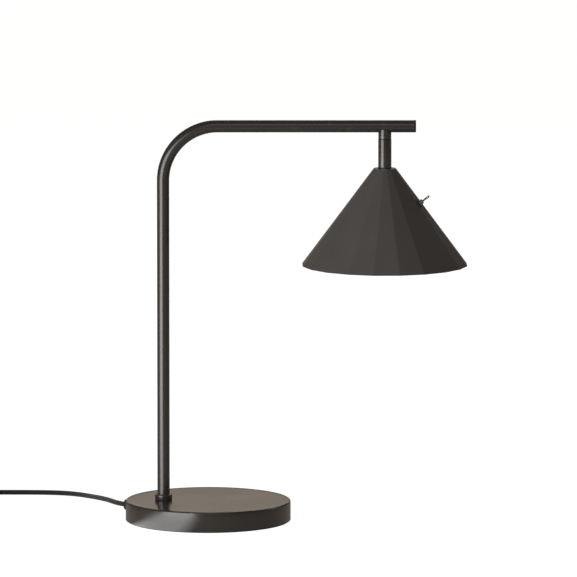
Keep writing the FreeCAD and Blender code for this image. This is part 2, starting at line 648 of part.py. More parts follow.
# ---------------------------------------------------------------- toggle switch
def make_switch():
    wall = size("shade_wall")
    long, wide, deep = size("switch_long"), size("switch_wide"), size("switch_deep")
    corner = switch_place(-wall - deep, -long / 2, -wide / 2)
    keep(block("switch_case", "switch_long", "switch_wide", "switch_deep"), "switch_body", corner)

    turned("switch_bushing",
           ring_outline("bushing_dia", "bushing_bore", "bushing_high + shade_wall"),
           switch_place(-wall))
    turned("switch_lock_ring", ring_outline("lock_ring_dia", "bushing_dia", "lock_ring_thick"),
           switch_place())
    hexagon_nut("switch_nut", "switch_nut_flats", "bushing_dia", "switch_nut_high",
                switch_place(size("lock_ring_thick")))

    ball = doc.addObject("Part::Sphere", "lever_ball_shape")
    bind(ball, Radius="lever_ball / 2")
    bat = doc.addObject("Part::Cone", "lever_bat")
    bind(bat, Radius1="lever_root / 2", Radius2="lever_tip / 2", Height="lever_long - lever_tip / 2")
    tip = doc.addObject("Part::Sphere", "lever_tip_shape")
    bind(tip, Radius="lever_tip / 2")
    tip.Placement = at(z=size("lever_long") - size("lever_tip") / 2)
    across = Rotation(Vector(1, 0, 0), -90)
    pin = rod("lever_pin", "lever_pin_dia", "lever_pin_long", at(y=-size("lever_pin_long") / 2,
                                                                  rotation=across))
    tilted = Placement(Vector(), Rotation(Vector(0, 1, 0), -size("lever_tilt")))
    keep(fuse("lever_fuse", [ball, bat, tip, pin]), "switch_lever",
         switch_place(size("lever_pivot")).multiply(tilted))

    pitch = size("terminal_pitch")
    tabs = []
    for number, step in enumerate((-1, 0, 1), start=1):
        corner = switch_place(-wall - deep - size("terminal_long"),
                              step * pitch - size("terminal_thick") / 2,
                              -size("terminal_wide") / 2)
        tabs.append(block(f"terminal_{number}", "terminal_thick", "terminal_wide",
                          "terminal_long", corner))
    keep(fuse("terminals_group", tabs), "switch_terminals")


# ---------------------------------------------------------------- inlet and wiring
def gland_place(out=0.0):
    """Frame on the base's skirt at the cord inlet, Z pointing outwards."""
    turn = math.radians(size("gland_azimuth"))
    outward = Vector(math.cos(turn), math.sin(turn), 0)
    spot = outward * (size("base_dia") / 2 + out) + Vector(0, 0, size("gland_z"))
    return Placement(spot, Rotation(Vector(0, 0, 1).cross(outward), Vector(0, 0, 1), outward, "ZXY"))


def make_inlet():
    """Domed bush in the skirt; the cord passes through it on the slant."""
    dome = turned_body("cord_gland", [
        ("0", "0"), ("gland_neck / 2", "0"), ("gland_neck / 2", "gland_inside + gland_seat"),
        ("gland_dia / 2", "gland_inside + gland_seat"),
        ("gland_dia / 2", "gland_inside + gland_proud"), ("0", "gland_inside + gland_proud")])
    soften(dome, "gland_round",
           ring_edge(size("gland_dia") / 2, size("gland_inside") + size("gland_proud")))
    start, onward = Vector(*CORD_ROUTE[0]), Vector(*CORD_ROUTE[1])
    along = (onward - start).normalize()
    bore = rod("gland_bore", "cord_dia", "8 * cord_dia",
               Placement(start - along * 4 * size("cord_dia"), Rotation(Vector(0, 0, 1), along)))
    dome.Placement = gland_place(-size("gland_inside"))
    keep(cut("cord_gland_cut", dome, bore), "cord_gland")


def clamp_screw_places():
    """Where the clamp's two screws stand on the base's plan."""
    turn = Rotation(Vector(0, 0, 1), size("clamp_turn"))
    middle = at(size("clamp_x"), size("clamp_y"), 0, turn)
    return [middle.multiply(at(0, side * size("clamp_gap") / 2)) for side in (-1, 1)]


def block_place():
    return at(size("block_x"), size("block_y"))


def make_wiring():
    """Terminal block and cord clamp in the base's chamber."""
    ceiling = size("chamber_top")
    foot = ceiling - size("block_high")
    solid = block("terminal_case", "block_long", "block_wide", "block_high",
                  at(-size("block_long") / 2, -size("block_wide") / 2))
    hole = rod("terminal_case_hole", "small_screw_dia", "block_high")
    place = block_place().multiply(at(z=foot))
    keep(cut("terminal_block_cut", solid, hole), "terminal_block", place)
    screws("block_screw", [block_place()], foot, "block_high + tapped_deep")
    pieces = [rod(f"terminal_screw_{side}", "terminal_screw_dia", "terminal_screw_proud",
                  place.multiply(at(side * size("terminal_screw_gap") / 2,
                                    row * size("terminal_screw_row") / 2,
                                    -size("terminal_screw_proud"))))
              for side in (-1, 1) for row in (-1, 1)]
    keep(fuse("terminal_screws_group", pieces), "terminal_screws")

    clamp_foot = size("tail_z") - size("cord_dia") / 2 - size("clamp_thick")
    turn = Rotation(Vector(0, 0, 1), size("clamp_turn"))
    middle = at(size("clamp_x"), size("clamp_y"), clamp_foot, turn)
    bar = block("clamp_bar", "clamp_wide", "clamp_long", "clamp_thick",
                middle.multiply(at(-size("clamp_wide") / 2, -size("clamp_long") / 2)))
    holes = [rod(f"clamp_hole_{k}", "small_screw_dia", "chamber_top", spot)
             for k, spot in enumerate(clamp_screw_places())]
    keep(cut("clamp_bar_cut", bar, fuse("clamp_holes", holes)), "cord_clamp")
    screws("cord_clamp_screws", clamp_screw_places(), clamp_foot,
           "chamber_top + tapped_deep - tail_z + cord_dia / 2 + clamp_thick")
    make_cord_tail()
    make_leads()
    make_switch_leads()


def make_cord_tail():
    """The mains cord's sheathed end inside the base, and its two cores."""
    start, onward = Vector(*CORD_ROUTE[0]), Vector(*CORD_ROUTE[1])
    inward = (start - onward).normalize()
    elbow = start + inward * size("tail_straight")
    turn = Rotation(Vector(0, 0, 1), size("clamp_turn"))
    clamp = at(size("clamp_x"), size("clamp_y"), size("tail_z"), turn)
    end = clamp.multiply(at(x=size("tail_past_clamp"))).Base
    wire, _ = rounded_path([tuple(start), (elbow.x, elbow.y, size("tail_z")), tuple(end)],
                           [size("tail_bend")])
    feature("cord_inner_end", tube_along(wire, size("cord_dia")))

    edge, level, cores = size("block_x") - size("block_long") / 2, size("core_z"), []
    for side in (-1, 1):
        first = end + turn.multVec(Vector(0, side * size("core_gap") / 2, 0))
        apart = side * size("core_entry_gap") / 2
        entry_y = size("core_entry_y") + apart
        route = [tuple(first), tuple(first + CORE_FIRST_STEP),
                 (size("core_x"), size("core_y") + apart, level),
                 (edge - size("core_entry_long"), entry_y, level), (edge, entry_y, level)]
        wire, _ = rounded_path(route, [size("core_bend"), size("core_wide_bend"),
                                       size("core_bend")])
        cores.append(tube_along(wire, size("wire_dia")))
    feature("supply_cores", Part.makeCompound(cores))


def make_leads():
    """The lead up the pole, round the bend and along the arm, and its end in the stem."""
    stem_x, arm_z, pole_x = size("stem_x"), size("arm_z"), size("pole_x")
    edge, gap = size("block_x") - size("block_long") / 2, size("lead_joint_gap")
    low = size("pole_rod_foot") - size("lead_below_rod")
    route = [(edge, size("lead_y"), size("lead_z")),
             (edge - size("lead_side_x"), size("lead_side_y"), low), (pole_x, 0, low),
             (pole_x, 0, arm_z), (stem_x, 0, arm_z), (stem_x, 0, size("seam_z") + gap)]
    wire, _ = rounded_path(route, [size("lead_bend"), size("lead_foot_bend"),
                                   size("bend_radius"), size("lead_drop_bend")])
    feature("inner_lead", tube_along(wire, size("lead_dia")))

    top, foot = Vector(stem_x, 0, size("seam_z")), Vector(stem_x, 0, size("skirt_top") + gap)
    drop = Part.Wire([Part.LineSegment(top, foot).toShape()])
    feature("stem_lead", tube_along(drop, size("lead_dia")))


def make_switch_leads():
    """Two wires from the switch's terminals to the lamp holder's side."""
    depth = size("shade_wall") + size("switch_deep") + size("terminal_long")
    side_x = size("stem_x") + size("holder_dia") / 2 + size("switch_wire_gap")
    wires = []
    for side in (-1, 1):
        along = side * size("terminal_pitch")
        tab = switch_place(-depth, along).Base
        deep = switch_place(-depth - size("switch_wire_down"), along).Base
        end = Vector(side_x, side * size("switch_wire_y"),
                     size("skirt_top") - size("switch_wire_low"))
        near = end + Vector(size("switch_wire_out"), 0, 0)
        wire, _ = rounded_path([tuple(tab), tuple(deep), tuple(near), tuple(end)],
                               [size("lead_bend"), size("lead_bend")])
        wires.append(tube_along(wire, size("wire_dia")))
    feature("switch_leads", Part.makeCompound(wires))


# ---------------------------------------------------------------- cord, coil and plug
def make_cord():
    cord_piece("mains_cord", CORD_ROUTE)
    cord_piece("cord_plug_end", PLUG_END_ROUTE)

    coil = turned_body("cord_coil", [
        ("coil_inner", "0"), ("coil_outer", "0"), ("coil_outer", "coil_high"),
        ("coil_inner", "coil_high")])
    soften(coil, "coil_round", lambda edge: isinstance(edge.Curve, Part.Circle))
    keep(coil, "cord_coil", at(size("coil_x"), size("coil_y"), size("coil_foot")))

    turn = Rotation(Vector(0, 0, 1), size("tie_azimuth"))
    thick = size("tie_thick")
    middle = at(size("coil_x"), size("coil_y"), 0, turn)
    band = block("tie_outer", "coil_outer - coil_inner + 2 * tie_thick", "tie_wide",
                 "coil_high + 2 * tie_thick",
                 middle.multiply(at(size("coil_inner") - thick, -size("tie_wide") / 2, 0)))
    space = block("tie_inner", "coil_outer - coil_inner", "tie_wide", "coil_high",
                  middle.multiply(at(size("coil_inner"), -size("tie_wide") / 2, thick)))
    keep(cut("cord_tie_cut", band, space), "cord_tie")
    make_plug()


def make_plug():
    """Flat two-pin plug lying on its side face, with a tapered strain relief."""
    plug_x, plug_y, high = size("plug_x"), size("plug_y"), size("plug_high")
    body = doc.addObject("PartDesign::Body", "plug_body_body")
    outline = sketch_on(body, "plug_outline", "XY_Plane")
    draw_outline(outline, [("-plug_wide / 2", "-plug_long"), ("plug_wide / 2", "-plug_long"),
                           ("plug_wide / 2", "-plug_long / 3"), ("relief_big / 2", "0"),
                           ("-relief_big / 2", "0"), ("-plug_wide / 2", "-plug_long / 3")])
    pad = body.newObject("PartDesign::Pad", "plug_pad")
    pad.Profile = outline
    bind(pad, Length="plug_high")
    doc.recompute()
    soften(body, "plug_round", lambda edge: abs(edge.tangentAt(edge.FirstParameter).z) < 0.5
           and abs(edge.CenterOfMass.y + size("plug_long")) > 1 and abs(edge.CenterOfMass.y) > 1)
    keep(body, "plug_body", at(plug_x, plug_y, 0))

    flat = Rotation(Vector(1, 0, 0), -90)
    turned("plug_relief", [
        ("cord_dia / 2", "0"), ("relief_big / 2", "0"), ("relief_small / 2", "relief_long"),
        ("cord_dia / 2", "relief_long")], at(plug_x, plug_y, high / 2, flat))

    pins = []
    for number, side in enumerate((-1, 1), start=1):
        spot = at(plug_x + side * size("plug_pin_gap") / 2, plug_y - size("plug_long"), high / 2,
                  Rotation(Vector(1, 0, 0), 90))
        pins.append(rod(f"plug_pin_{number}", "plug_pin_dia", "plug_pin_long", spot))
    keep(fuse("plug_pins_group", pins), "plug_pins")


# ---------------------------------------------------------------- check and write
def write_parts():
    doc.recompute()
    bad = [thing.Name for thing in doc.Objects
           if any(word in thing.State for word in ("Invalid", "Error"))]
    bad += [thing.Label for thing in NODES if thing.Shape.isNull() or not thing.Shape.isValid()]
    if bad:
        raise RuntimeError("failed: " + ", ".join(bad))
    os.makedirs("parts", exist_ok=True)
    for thing in NODES:
        thing.Shape.exportStep(f"parts/{thing.Label}.step")
        print(thing.Label, "solids", len(thing.Shape.Solids),
              "volume %.0f" % thing.Shape.Volume)


make_base()
make_pole()
make_swivel()
make_stem()
make_shade()
make_holder()
make_switch()
make_inlet()
make_wiring()
make_cord()
write_parts()
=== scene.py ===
"""Desk lamp: a weighted round base, a bent tube and a faceted cone shade, on its frame."""

import json
import math

import bmesh
import bpy
from bpy.props import FloatProperty, FloatVectorProperty, IntProperty, PointerProperty
from mathutils import Matrix, Vector


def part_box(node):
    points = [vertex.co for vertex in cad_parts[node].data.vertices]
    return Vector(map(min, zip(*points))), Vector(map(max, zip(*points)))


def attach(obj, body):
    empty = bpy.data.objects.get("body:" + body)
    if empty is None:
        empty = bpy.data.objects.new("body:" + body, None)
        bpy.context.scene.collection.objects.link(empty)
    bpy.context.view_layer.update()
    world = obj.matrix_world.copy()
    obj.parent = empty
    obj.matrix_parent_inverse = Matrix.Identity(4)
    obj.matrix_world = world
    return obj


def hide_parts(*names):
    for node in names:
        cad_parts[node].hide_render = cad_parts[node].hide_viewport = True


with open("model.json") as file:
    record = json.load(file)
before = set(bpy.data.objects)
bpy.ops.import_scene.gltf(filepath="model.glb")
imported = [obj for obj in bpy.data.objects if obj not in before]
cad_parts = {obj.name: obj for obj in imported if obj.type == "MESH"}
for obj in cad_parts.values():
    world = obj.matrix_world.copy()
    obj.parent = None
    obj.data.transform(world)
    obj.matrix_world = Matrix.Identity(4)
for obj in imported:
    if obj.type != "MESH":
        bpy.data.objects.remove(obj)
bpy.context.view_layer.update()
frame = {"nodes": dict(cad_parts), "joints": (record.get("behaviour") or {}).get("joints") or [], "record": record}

bl_info = {
    "name": "Faceted Desk Lamp",
    "version": (1, 0, 0),
    "blender": (4, 5, 0),
    "location": "3D View > Sidebar > Desk Lamp",
    "description": "Builds the visible pieces, finishes and studio of a faceted desk lamp",
    "category": "Add Mesh",
}

STAND, HEAD, LEVER = "lamp_stand", "shade_head", "toggle_lever"
SLOT_OF = {part["node"]: part["material_slot"] for part in frame["record"]["subparts"]}
JOINT = {joint["name"]: joint for joint in frame["joints"]}

# Control points of the mains cord from its inlet to the coil, and from the coil to the plug.
CORD_ROUTE = [
    (-0.0971, 0.0192, 0.0160), (-0.1105, 0.0325, 0.0160), (-0.1208, 0.0642, 0.0146),
    (-0.1319, 0.1018, 0.0112), (-0.1450, 0.1422, 0.0070), (-0.1611, 0.1768, 0.0040),
    (-0.1806, 0.1933, 0.0030), (-0.2066, 0.1980, 0.0030), (-0.2620, 0.1938, 0.0038),
    (-0.3090, 0.1920, 0.0038),
]
PLUG_END_ROUTE = [
    (-0.3510, 0.1500, 0.0098), (-0.3519, 0.1260, 0.0084), (-0.3510, 0.1010, 0.0067),
    (-0.3505, 0.0780, 0.0065),
]
CORD_EXIT = (-0.1023, 0.0217, 0.0160)
COIL_STEPS = 3   # how many times each layer of the coil steps in or out by its pitch


def length(name, default, description):
    """A length property in metres."""
    return FloatProperty(name=name, description=description, default=default, min=0.0,
                         unit="LENGTH", precision=5)


def colour(name, default, description):
    """A colour property."""
    return FloatVectorProperty(name=name, description=description, default=default, min=0.0,
                               max=1.0, size=3, subtype="COLOR")


def angle(name, degrees, description):
    """An angle property."""
    return FloatProperty(name=name, description=description, default=math.radians(degrees),
                         subtype="ANGLE", unit="ROTATION")


def strength(name, default, description):
    """A light's strength."""
    return FloatProperty(name=name, description=description, default=default, min=0.0)


class LampSizes(bpy.types.PropertyGroup):
    """Sizes of the lamp's own pieces that the frame's boxes don't give."""

    facets: IntProperty(name="Shade facets", description="Flat sides round the shade",
                        default=20, min=6, max=60)
    facet_start: angle("First crease", 10, "Direction of the first crease")
    shade_top_radius: length("Shade top radius", 0.01346, "Corner radius at the shade's top")
    shade_rim_radius: length("Shade rim radius", 0.1007, "Corner radius at the shade's rim")
    hem: length("Shade hem", 0.0004, "Height of the straight edge at the rim")
    shade_wall: length("Shade wall", 0.001, "Thickness of the shade's sheet metal")
    crease: length("Crease softness", 0.0006, "Width over which a crease turns")
    base_round: length("Base edge", 0.002, "Rounding of the base's upper edge")
    bend_radius: length("Bend radius", 0.066, "Radius of the tube's bend on its centre line")
    coil_pitch: length("Coil pitch", 0.006, "Distance between neighbouring turns")
    coil_radius: length("Coil radius", 0.042, "Radius of the coil's outermost turn")
    cord_length: length("Cord length", 1.8, "Real length of the mains cord")
    cord_width: length("Cord diameter", 0.006, "Diameter of the braided cord")
    lever_pivot: length("Lever pivot", 0.0025, "Height of the lever's pin above the shade")
    lever_tilt: angle("Lever tilt", 12.5, "Lean of the lever at rest")


class LampColours(bpy.types.PropertyGroup):
    """Colours of the finishes that a user would change."""

    stand: colour("Stand paint", (0.045, 0.040, 0.036), "Powder paint of base, tube, stem")
    shade: colour("Shade paint", (0.130, 0.124, 0.118), "Powder paint outside the shade")
    lining: colour("Shade lining", (0.78, 0.76, 0.71), "Paint inside the shade")
    braid: colour("Cord braid", (0.016, 0.0155, 0.015), "Textile sleeve of the cord")
    tie: colour("Cord tie", (0.03, 0.03, 0.032), "Woven band round the coil")
    rubber: colour("Foot rubber", (0.018, 0.018, 0.018), "Pad under the base")
    plug: colour("Plug", (0.02, 0.02, 0.021), "Moulded plug and its relief")
    glass: colour("Opal glass", (0.86, 0.85, 0.81), "Bulb's envelope")


class StudioSettings(bpy.types.PropertyGroup):
    """Camera and light of the plain studio."""

    lens: FloatProperty(name="Lens", description="Focal length", default=598.8, unit="CAMERA")
    distance: length("Camera distance", 11.601, "Distance from the camera to its target")
    pitch: angle("Camera pitch", 7.8, "Angle that the camera looks down")
    target: FloatVectorProperty(name="Camera target", description="Point in the picture's middle",
                                default=(0.0974, 0.0, 0.2838), subtype="XYZ", unit="LENGTH")
    key: strength("Left softbox", 13.7, "Low softbox to the left of the camera")
    back: strength("Back softbox", 3.4, "Low warm light from behind")
    back_high: strength("High back softbox", 11.0, "Softbox above and behind the lamp")
    right: strength("Right softbox", 2.4, "Faint light from the right")
    front: strength("Front softbox", 6.0, "Dim tall softbox above the camera")
    pool: strength("Pool of light", 2.5, "Lit patch of floor that the lamp mirrors")
    room: strength("Room light", 0.09, "Even light from the room")
    floor_glow: strength("Floor glow", 0.2, "Brightness of the floor as the lamp mirrors it")


# ---- shader arithmetic
class Signal:
    """A shader socket in Python arithmetic: an expression on it adds its Math nodes."""

    def __init__(self, finish, socket):
        self.finish = finish
        self.socket = socket

    def math(self, operation, *others):
        values = dict(enumerate((self, *others)))
        return self.finish.node("ShaderNodeMath", {"operation": operation}, values)

    def __add__(self, other):
        return self.math("ADD", other)

    def __sub__(self, other):
        return self.math("SUBTRACT", other)

    def __rsub__(self, other):
        return self.finish.node("ShaderNodeMath", {"operation": "SUBTRACT"}, {0: other, 1: self})

    def __mul__(self, other):
        return self.math("MULTIPLY", other)

    def __pow__(self, other):
        return self.math("POWER", other)

    def __abs__(self):
        return self.math("ABSOLUTE")

    __radd__ = __add__
    __rmul__ = __mul__


class Finish:
    """A material's nodes, built round one Principled shader."""

    def __init__(self, name):
        plain = bpy.data.materials.get(name)
        if plain:
            plain.name = "plain_" + name
        self.material = bpy.data.materials.new(name)
        self.material.use_nodes = True
        self.tree = self.material.node_tree
        self.tree.nodes.clear()
        self.shader = self.tree.nodes.new("ShaderNodeBsdfPrincipled")
        output = self.tree.nodes.new("ShaderNodeOutputMaterial")
        self.tree.links.new(self.shader.outputs[0], output.inputs["Surface"])

    def node(self, kind, settings=None, inputs=None, output=0):
        """Add a node: its settings first, then the values or links of its sockets."""
        made = self.tree.nodes.new(kind)
        for name, value in (settings or {}).items():
            setattr(made, name, value)
        for name, value in (inputs or {}).items():
            self.feed(made.inputs[name], value)
        return Signal(self, made.outputs[output])

    def feed(self, socket, value):
        if isinstance(value, Signal):
            self.tree.links.new(value.socket, socket)
        else:
            socket.default_value = value

    def shade(self, **sockets):
        """Set or link the Principled shader's sockets; an underscore stands for a space."""
        for name, value in sockets.items():
            self.feed(self.shader.inputs[name.replace("_", " ")], value)

    def place(self, stretch=(1, 1, 1), turn=(0, 0, 0)):
        """Object coordinates, turned and stretched."""
        spot = self.node("ShaderNodeTexCoord", output="Object")
        return self.node("ShaderNodeMapping", {"vector_type": "POINT"},
                         {"Vector": spot, "Rotation": turn, "Scale": stretch})

    def axes(self, vector):
        """The three parts of a vector as numbers."""
        split = self.node("ShaderNodeSeparateXYZ", {}, {0: vector}).socket.node
        return [Signal(self, socket) for socket in split.outputs]

    def noise(self, scale, detail=2.0, rough=0.5, vector=None):
        return self.node("ShaderNodeTexNoise", {}, {
            "Vector": vector or self.place(), "Scale": scale, "Detail": detail, "Roughness": rough})

    def pits(self, scale, vector=None):
        """Distance to the nearest of scattered points."""
        return self.node("ShaderNodeTexVoronoi", {}, {
            "Vector": vector or self.place(), "Scale": scale})

    def spread(self, value, low, high, to_low=0.0, to_high=1.0):
        """Map a range of a value onto another and hold it there."""
        return self.node("ShaderNodeMapRange", {"clamp": True}, {
            "Value": value, "From Min": low, "From Max": high, "To Min": to_low,
            "To Max": to_high})

    def blend(self, factor, first, second):
        """Mix two colours."""
        first, second = [(*c, 1.0) if len_of(c) == 3 else c for c in (first, second)]
        return self.node("ShaderNodeMix", {"data_type": "RGBA"}, {0: factor, 6: first, 7: second},
                         output=2)

    def bump(self, height, distance, amount=1.0):
        return self.node("ShaderNodeBump", {}, {
            "Strength": amount, "Distance": distance, "Height": height})


def len_of(value):
    """Length of a plain colour; a signal has none."""
    return 0 if isinstance(value, Signal) else len(value)


def tint(shade, factor):
    """A colour made lighter or darker."""
    return tuple(min(1.0, part * factor) for part in shade)


# ---- finishes
def colours():
    return bpy.context.scene.lamp_colours


def powder_coat(finish, shade, matt, gloss, worn):
    """Baked powder paint: orange-peel skin, faint clouds, fine specks, polished where worn."""
    peel = finish.noise(620, 2.0, 0.5)
    specks = finish.spread(finish.noise(2400, 1.0), 0.62, 0.74)
    clouds = finish.spread(finish.noise(16, 3.0), 0.3, 0.7)
    paint = finish.blend(clouds, tint(shade, 0.94), tint(shade, 1.06))
    paint = finish.blend(specks * 0.25, paint, tint(shade, 1.6))
    paint = finish.blend(worn * 0.5, paint, tint(shade, 2.2))
    finish.shade(Base_Color=paint, Roughness=clouds * 0.05 + (matt - worn * 0.1),
                 Normal=finish.bump(peel, 0.00001, 0.25), IOR=gloss)


def satin_paint(finish):
    """Stand paint, rubbed bright in spots along the base's upper rim."""
    across, deep, up = finish.axes(finish.place())
    reach = (across * across + deep * deep) ** 0.5
    rim = finish.spread(reach, 0.0978, 0.0992) * finish.spread(up, 0.0222, 0.0245)
    rubbed = finish.spread(finish.noise(90, 4.0, 0.6), 0.52, 0.7)
    powder_coat(finish, colours().stand, 0.2, 1.7, rim * rubbed)


def shade_paint(finish):
    """Shade paint, rubbed a little along the hem."""
    _, _, up = finish.axes(finish.place())
    hem = 1 - finish.spread(up, 0.3130, 0.3136)
    rubbed = finish.spread(finish.noise(80, 4.0, 0.6), 0.5, 0.7)
    powder_coat(finish, colours().shade, 0.42, 1.5, hem * rubbed)


def shade_lining(finish):
    """Pale paint inside the shade, darkened faintly towards the top by painted shade."""
    _, _, up = finish.axes(finish.place())
    # Painted shade: the lining darkens in patches towards the deep top of the cone.
    dust_and_painted_shade = finish.spread(up, 0.33, 0.43) * finish.noise(40, 3.0)
    lining = colours().lining
    finish.shade(Base_Color=finish.blend(dust_and_painted_shade, lining, tint(lining, 0.86)),
                 Roughness=finish.noise(300, 2.0) * 0.1 + 0.42,
                 Normal=finish.bump(finish.noise(700, 3.0), 0.00005, 0.5))


def metal(finish, base, rough, scratch=900, stretch=(1, 1, 1), tarnish=0.75):
    """Bare or plated metal with fine scratches and a clouded film."""
    film = finish.spread(finish.noise(70, 4.0, 0.6), 0.35, 0.7)
    lines = finish.noise(scratch, 3.0, 0.6, finish.place(stretch))
    finish.shade(Base_Color=finish.blend(film, base, tint(base, tarnish)), Metallic=1.0,
                 Roughness=film * 0.14 + lines * 0.1 + (rough - 0.08),
                 Normal=finish.bump(lines, 0.00003, 0.4))


def plastic(finish, base, rough, grain=1500, depth=0.00004):
    """Moulded plastic with a fine eroded texture and faint flow marks."""
    flow = finish.spread(finish.noise(45, 3.0), 0.3, 0.7)
    skin = finish.noise(grain, 2.0, 0.6)
    finish.shade(Base_Color=finish.blend(flow, tint(base, 0.9), tint(base, 1.15)),
                 Roughness=flow * 0.08 + skin * 0.08 + (rough - 0.06),
                 Normal=finish.bump(skin, depth, 0.6), IOR=1.49)


def cast_weight(finish):
    """Rough cast iron with a thin rust bloom."""
    sand = finish.noise(420, 4.0, 0.65)
    bloom = finish.spread(finish.noise(38, 4.0, 0.6), 0.5, 0.72)
    finish.shade(Base_Color=finish.blend(bloom, (0.07, 0.068, 0.066), (0.16, 0.075, 0.04)),
                 Metallic=1 - bloom * 0.9, Roughness=bloom * 0.25 + 0.6,
                 Normal=finish.bump(sand, 0.0004, 0.8))


def foot_rubber(finish):
    """Dull rubber pad with a pebbled skin, dusty from the floor in patches."""
    pebble = finish.pits(900)
    dust_and_painted_shade = finish.spread(finish.noise(120, 4.0), 0.45, 0.75)
    rubber = colours().rubber
    finish.shade(Base_Color=finish.blend(dust_and_painted_shade * 0.4, rubber, tint(rubber, 3.0)),
                 Roughness=dust_and_painted_shade * 0.1 + 0.8, Normal=finish.bump(pebble, 0.0002, 0.6))


def opal_glass(finish):
    """Opal glass: milky under a hard clear skin."""
    cloud = finish.spread(finish.noise(55, 3.0), 0.3, 0.7)
    glass = colours().glass
    finish.shade(Base_Color=finish.blend(cloud, glass, tint(glass, 0.95)),
                 Roughness=cloud * 0.04 + 0.12, Coat_Weight=cloud * 0.2 + 0.6,
                 Subsurface_Weight=0.25, Subsurface_Radius=(0.004, 0.004, 0.0035),
                 Coat_Roughness=0.04, Normal=finish.bump(cloud, 0.0001, 0.15))


def braid(finish, base, strands, pitch, depth):
    """Over and under plait of two crossing families of strands, laid out on the cord's own map."""
    spot = finish.node("ShaderNodeUVMap", {"uv_map": "Lay"})
    run, turn, _ = finish.axes(spot)
    left = run * (math.pi / pitch) + turn * (math.pi * strands)
    right = run * (math.pi / pitch) - turn * (math.pi * strands)
    over = finish.spread(left.math("SINE") * right.math("SINE"), -0.2, 0.2)
    weft, warp = abs(left.math("COSINE")), abs(right.math("COSINE"))
    plait = over * weft + (1 - over) * warp
    fuzz = finish.noise(5200, 2.0, 0.7)
    # Colour lighter on the strand crowns and darker in the grooves between strands: painted highlight and painted
    # shade, mixed with random fibre fuzz.
    light = plait * 0.8 + fuzz * 0.4
    # Random lighter patches of painted sheen in the colour.
    sheen = finish.spread(finish.noise(60, 2.0), 0.35, 0.7)
    shaded_yarn = finish.blend(light, tint(base, 0.55), tint(base, 2.3))
    finish.shade(Base_Color=finish.blend(sheen * 0.3, shaded_yarn, tint(base, 2.6)),
                 Roughness=0.92 - plait * 0.16, Normal=finish.bump(plait + fuzz * 0.3, depth, 0.9),
                 Sheen_Weight=0.25, Sheen_Roughness=0.5)


def textile_braid(finish):
    braid(finish, colours().braid, 8, 0.0021, 0.00035)


def tie_fabric(finish):
    """Woven band: crossing threads on object coordinates, with a ribbed face."""
    across, deep, up = finish.axes(finish.place((1, 1, 1), (0, 0, math.radians(60))))
    threads = (across * 5200).math("SINE") * (deep * 5200 + up * 5200).math("SINE")
    fuzz = finish.noise(3800, 3.0, 0.7)
    weave = finish.spread(threads + fuzz, -0.6, 1.6)
    base = colours().tie
    # Colour lighter on the thread tops and darker between the threads: painted highlight and painted shade, mixed
    # with random fuzz.
    finish.shade(Base_Color=finish.blend(weave, tint(base, 0.6), tint(base, 1.9)),
                 Roughness=0.95 - weave * 0.12, Normal=finish.bump(weave, 0.0003, 0.8),
                 Sheen_Weight=0.2)


def plug_black(finish):
    plastic(finish, colours().plug, 0.46, 1200, 0.00006)


# What makes each finish, and how: a metal's colour, roughness, scratch scale, their stretch and
# tarnish, and a plastic's colour, roughness and grain scale.
FINISHES = {
    **{each.__name__: (each,) for each in (
        satin_paint, shade_paint, shade_lining, cast_weight, foot_rubber, opal_glass,
        textile_braid, tie_fabric, plug_black)},
    "zinc_steel": (metal, (0.55, 0.56, 0.57), 0.36),
    "plated_brass": (metal, (0.80, 0.66, 0.42), 0.28, 900, (1, 1, 1), 0.6),
    "switch_nickel": (metal, (0.52, 0.51, 0.49), 0.3, 2600, (1, 1, 1), 0.85),
    "terminal_metal": (metal, (0.72, 0.70, 0.66), 0.3, 1800),
    "pin_nickel": (metal, (0.70, 0.69, 0.67), 0.22, 1800, (1, 0.05, 1)),
    "nylon_washer": (plastic, (0.02, 0.02, 0.02), 0.45),
    "holder_plastic": (plastic, (0.018, 0.018, 0.018), 0.34),
    "switch_black": (plastic, (0.015, 0.015, 0.015), 0.38),
    "gland_black": (plastic, (0.02, 0.0195, 0.019), 0.5),
    "block_plastic": (plastic, (0.62, 0.61, 0.57), 0.42),
    "lead_sheath": (plastic, (0.55, 0.54, 0.52), 0.48, 2200),
}
MADE = {}


def material(name):
    """The finish of that name, made when it is first asked for."""
    if name not in MADE:
        MADE[name] = Finish(name)
        make, *looks = FINISHES[name]
        make(MADE[name], *looks)
    return MADE[name].material


# ---- mesh helpers
def settle(bm, name, slot, body, stands_for, sharp=35.0, extra=(), place=None):
    """Turn a bmesh into a piece with its finish, riding on a body in place of CAD nodes."""
    if place:
        bm.transform(place)
    for face in bm.faces:
        face.smooth = True
    for edge in bm.edges:
        edge.smooth = edge.is_manifold and edge.calc_face_angle() < math.radians(sharp)
    return hand_over(bm, name, slot, body, stands_for, extra)


def add_object(name, data):
    """A new object at the origin, in the scene."""
    made = bpy.data.objects.new(name, data)
    bpy.context.scene.collection.objects.link(made)
    return made


def hand_over(bm, name, slot, body, stands_for, extra=()):
    """Write a finished bmesh to a piece without touching its shading."""
    mesh = bpy.data.meshes.new(name)
    bm.to_mesh(mesh)
    bm.free()
    for finish in (slot, *extra):
        mesh.materials.append(material(finish))
    piece = add_object(name, mesh)
    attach(piece, body)
    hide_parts(*stands_for)
    return piece


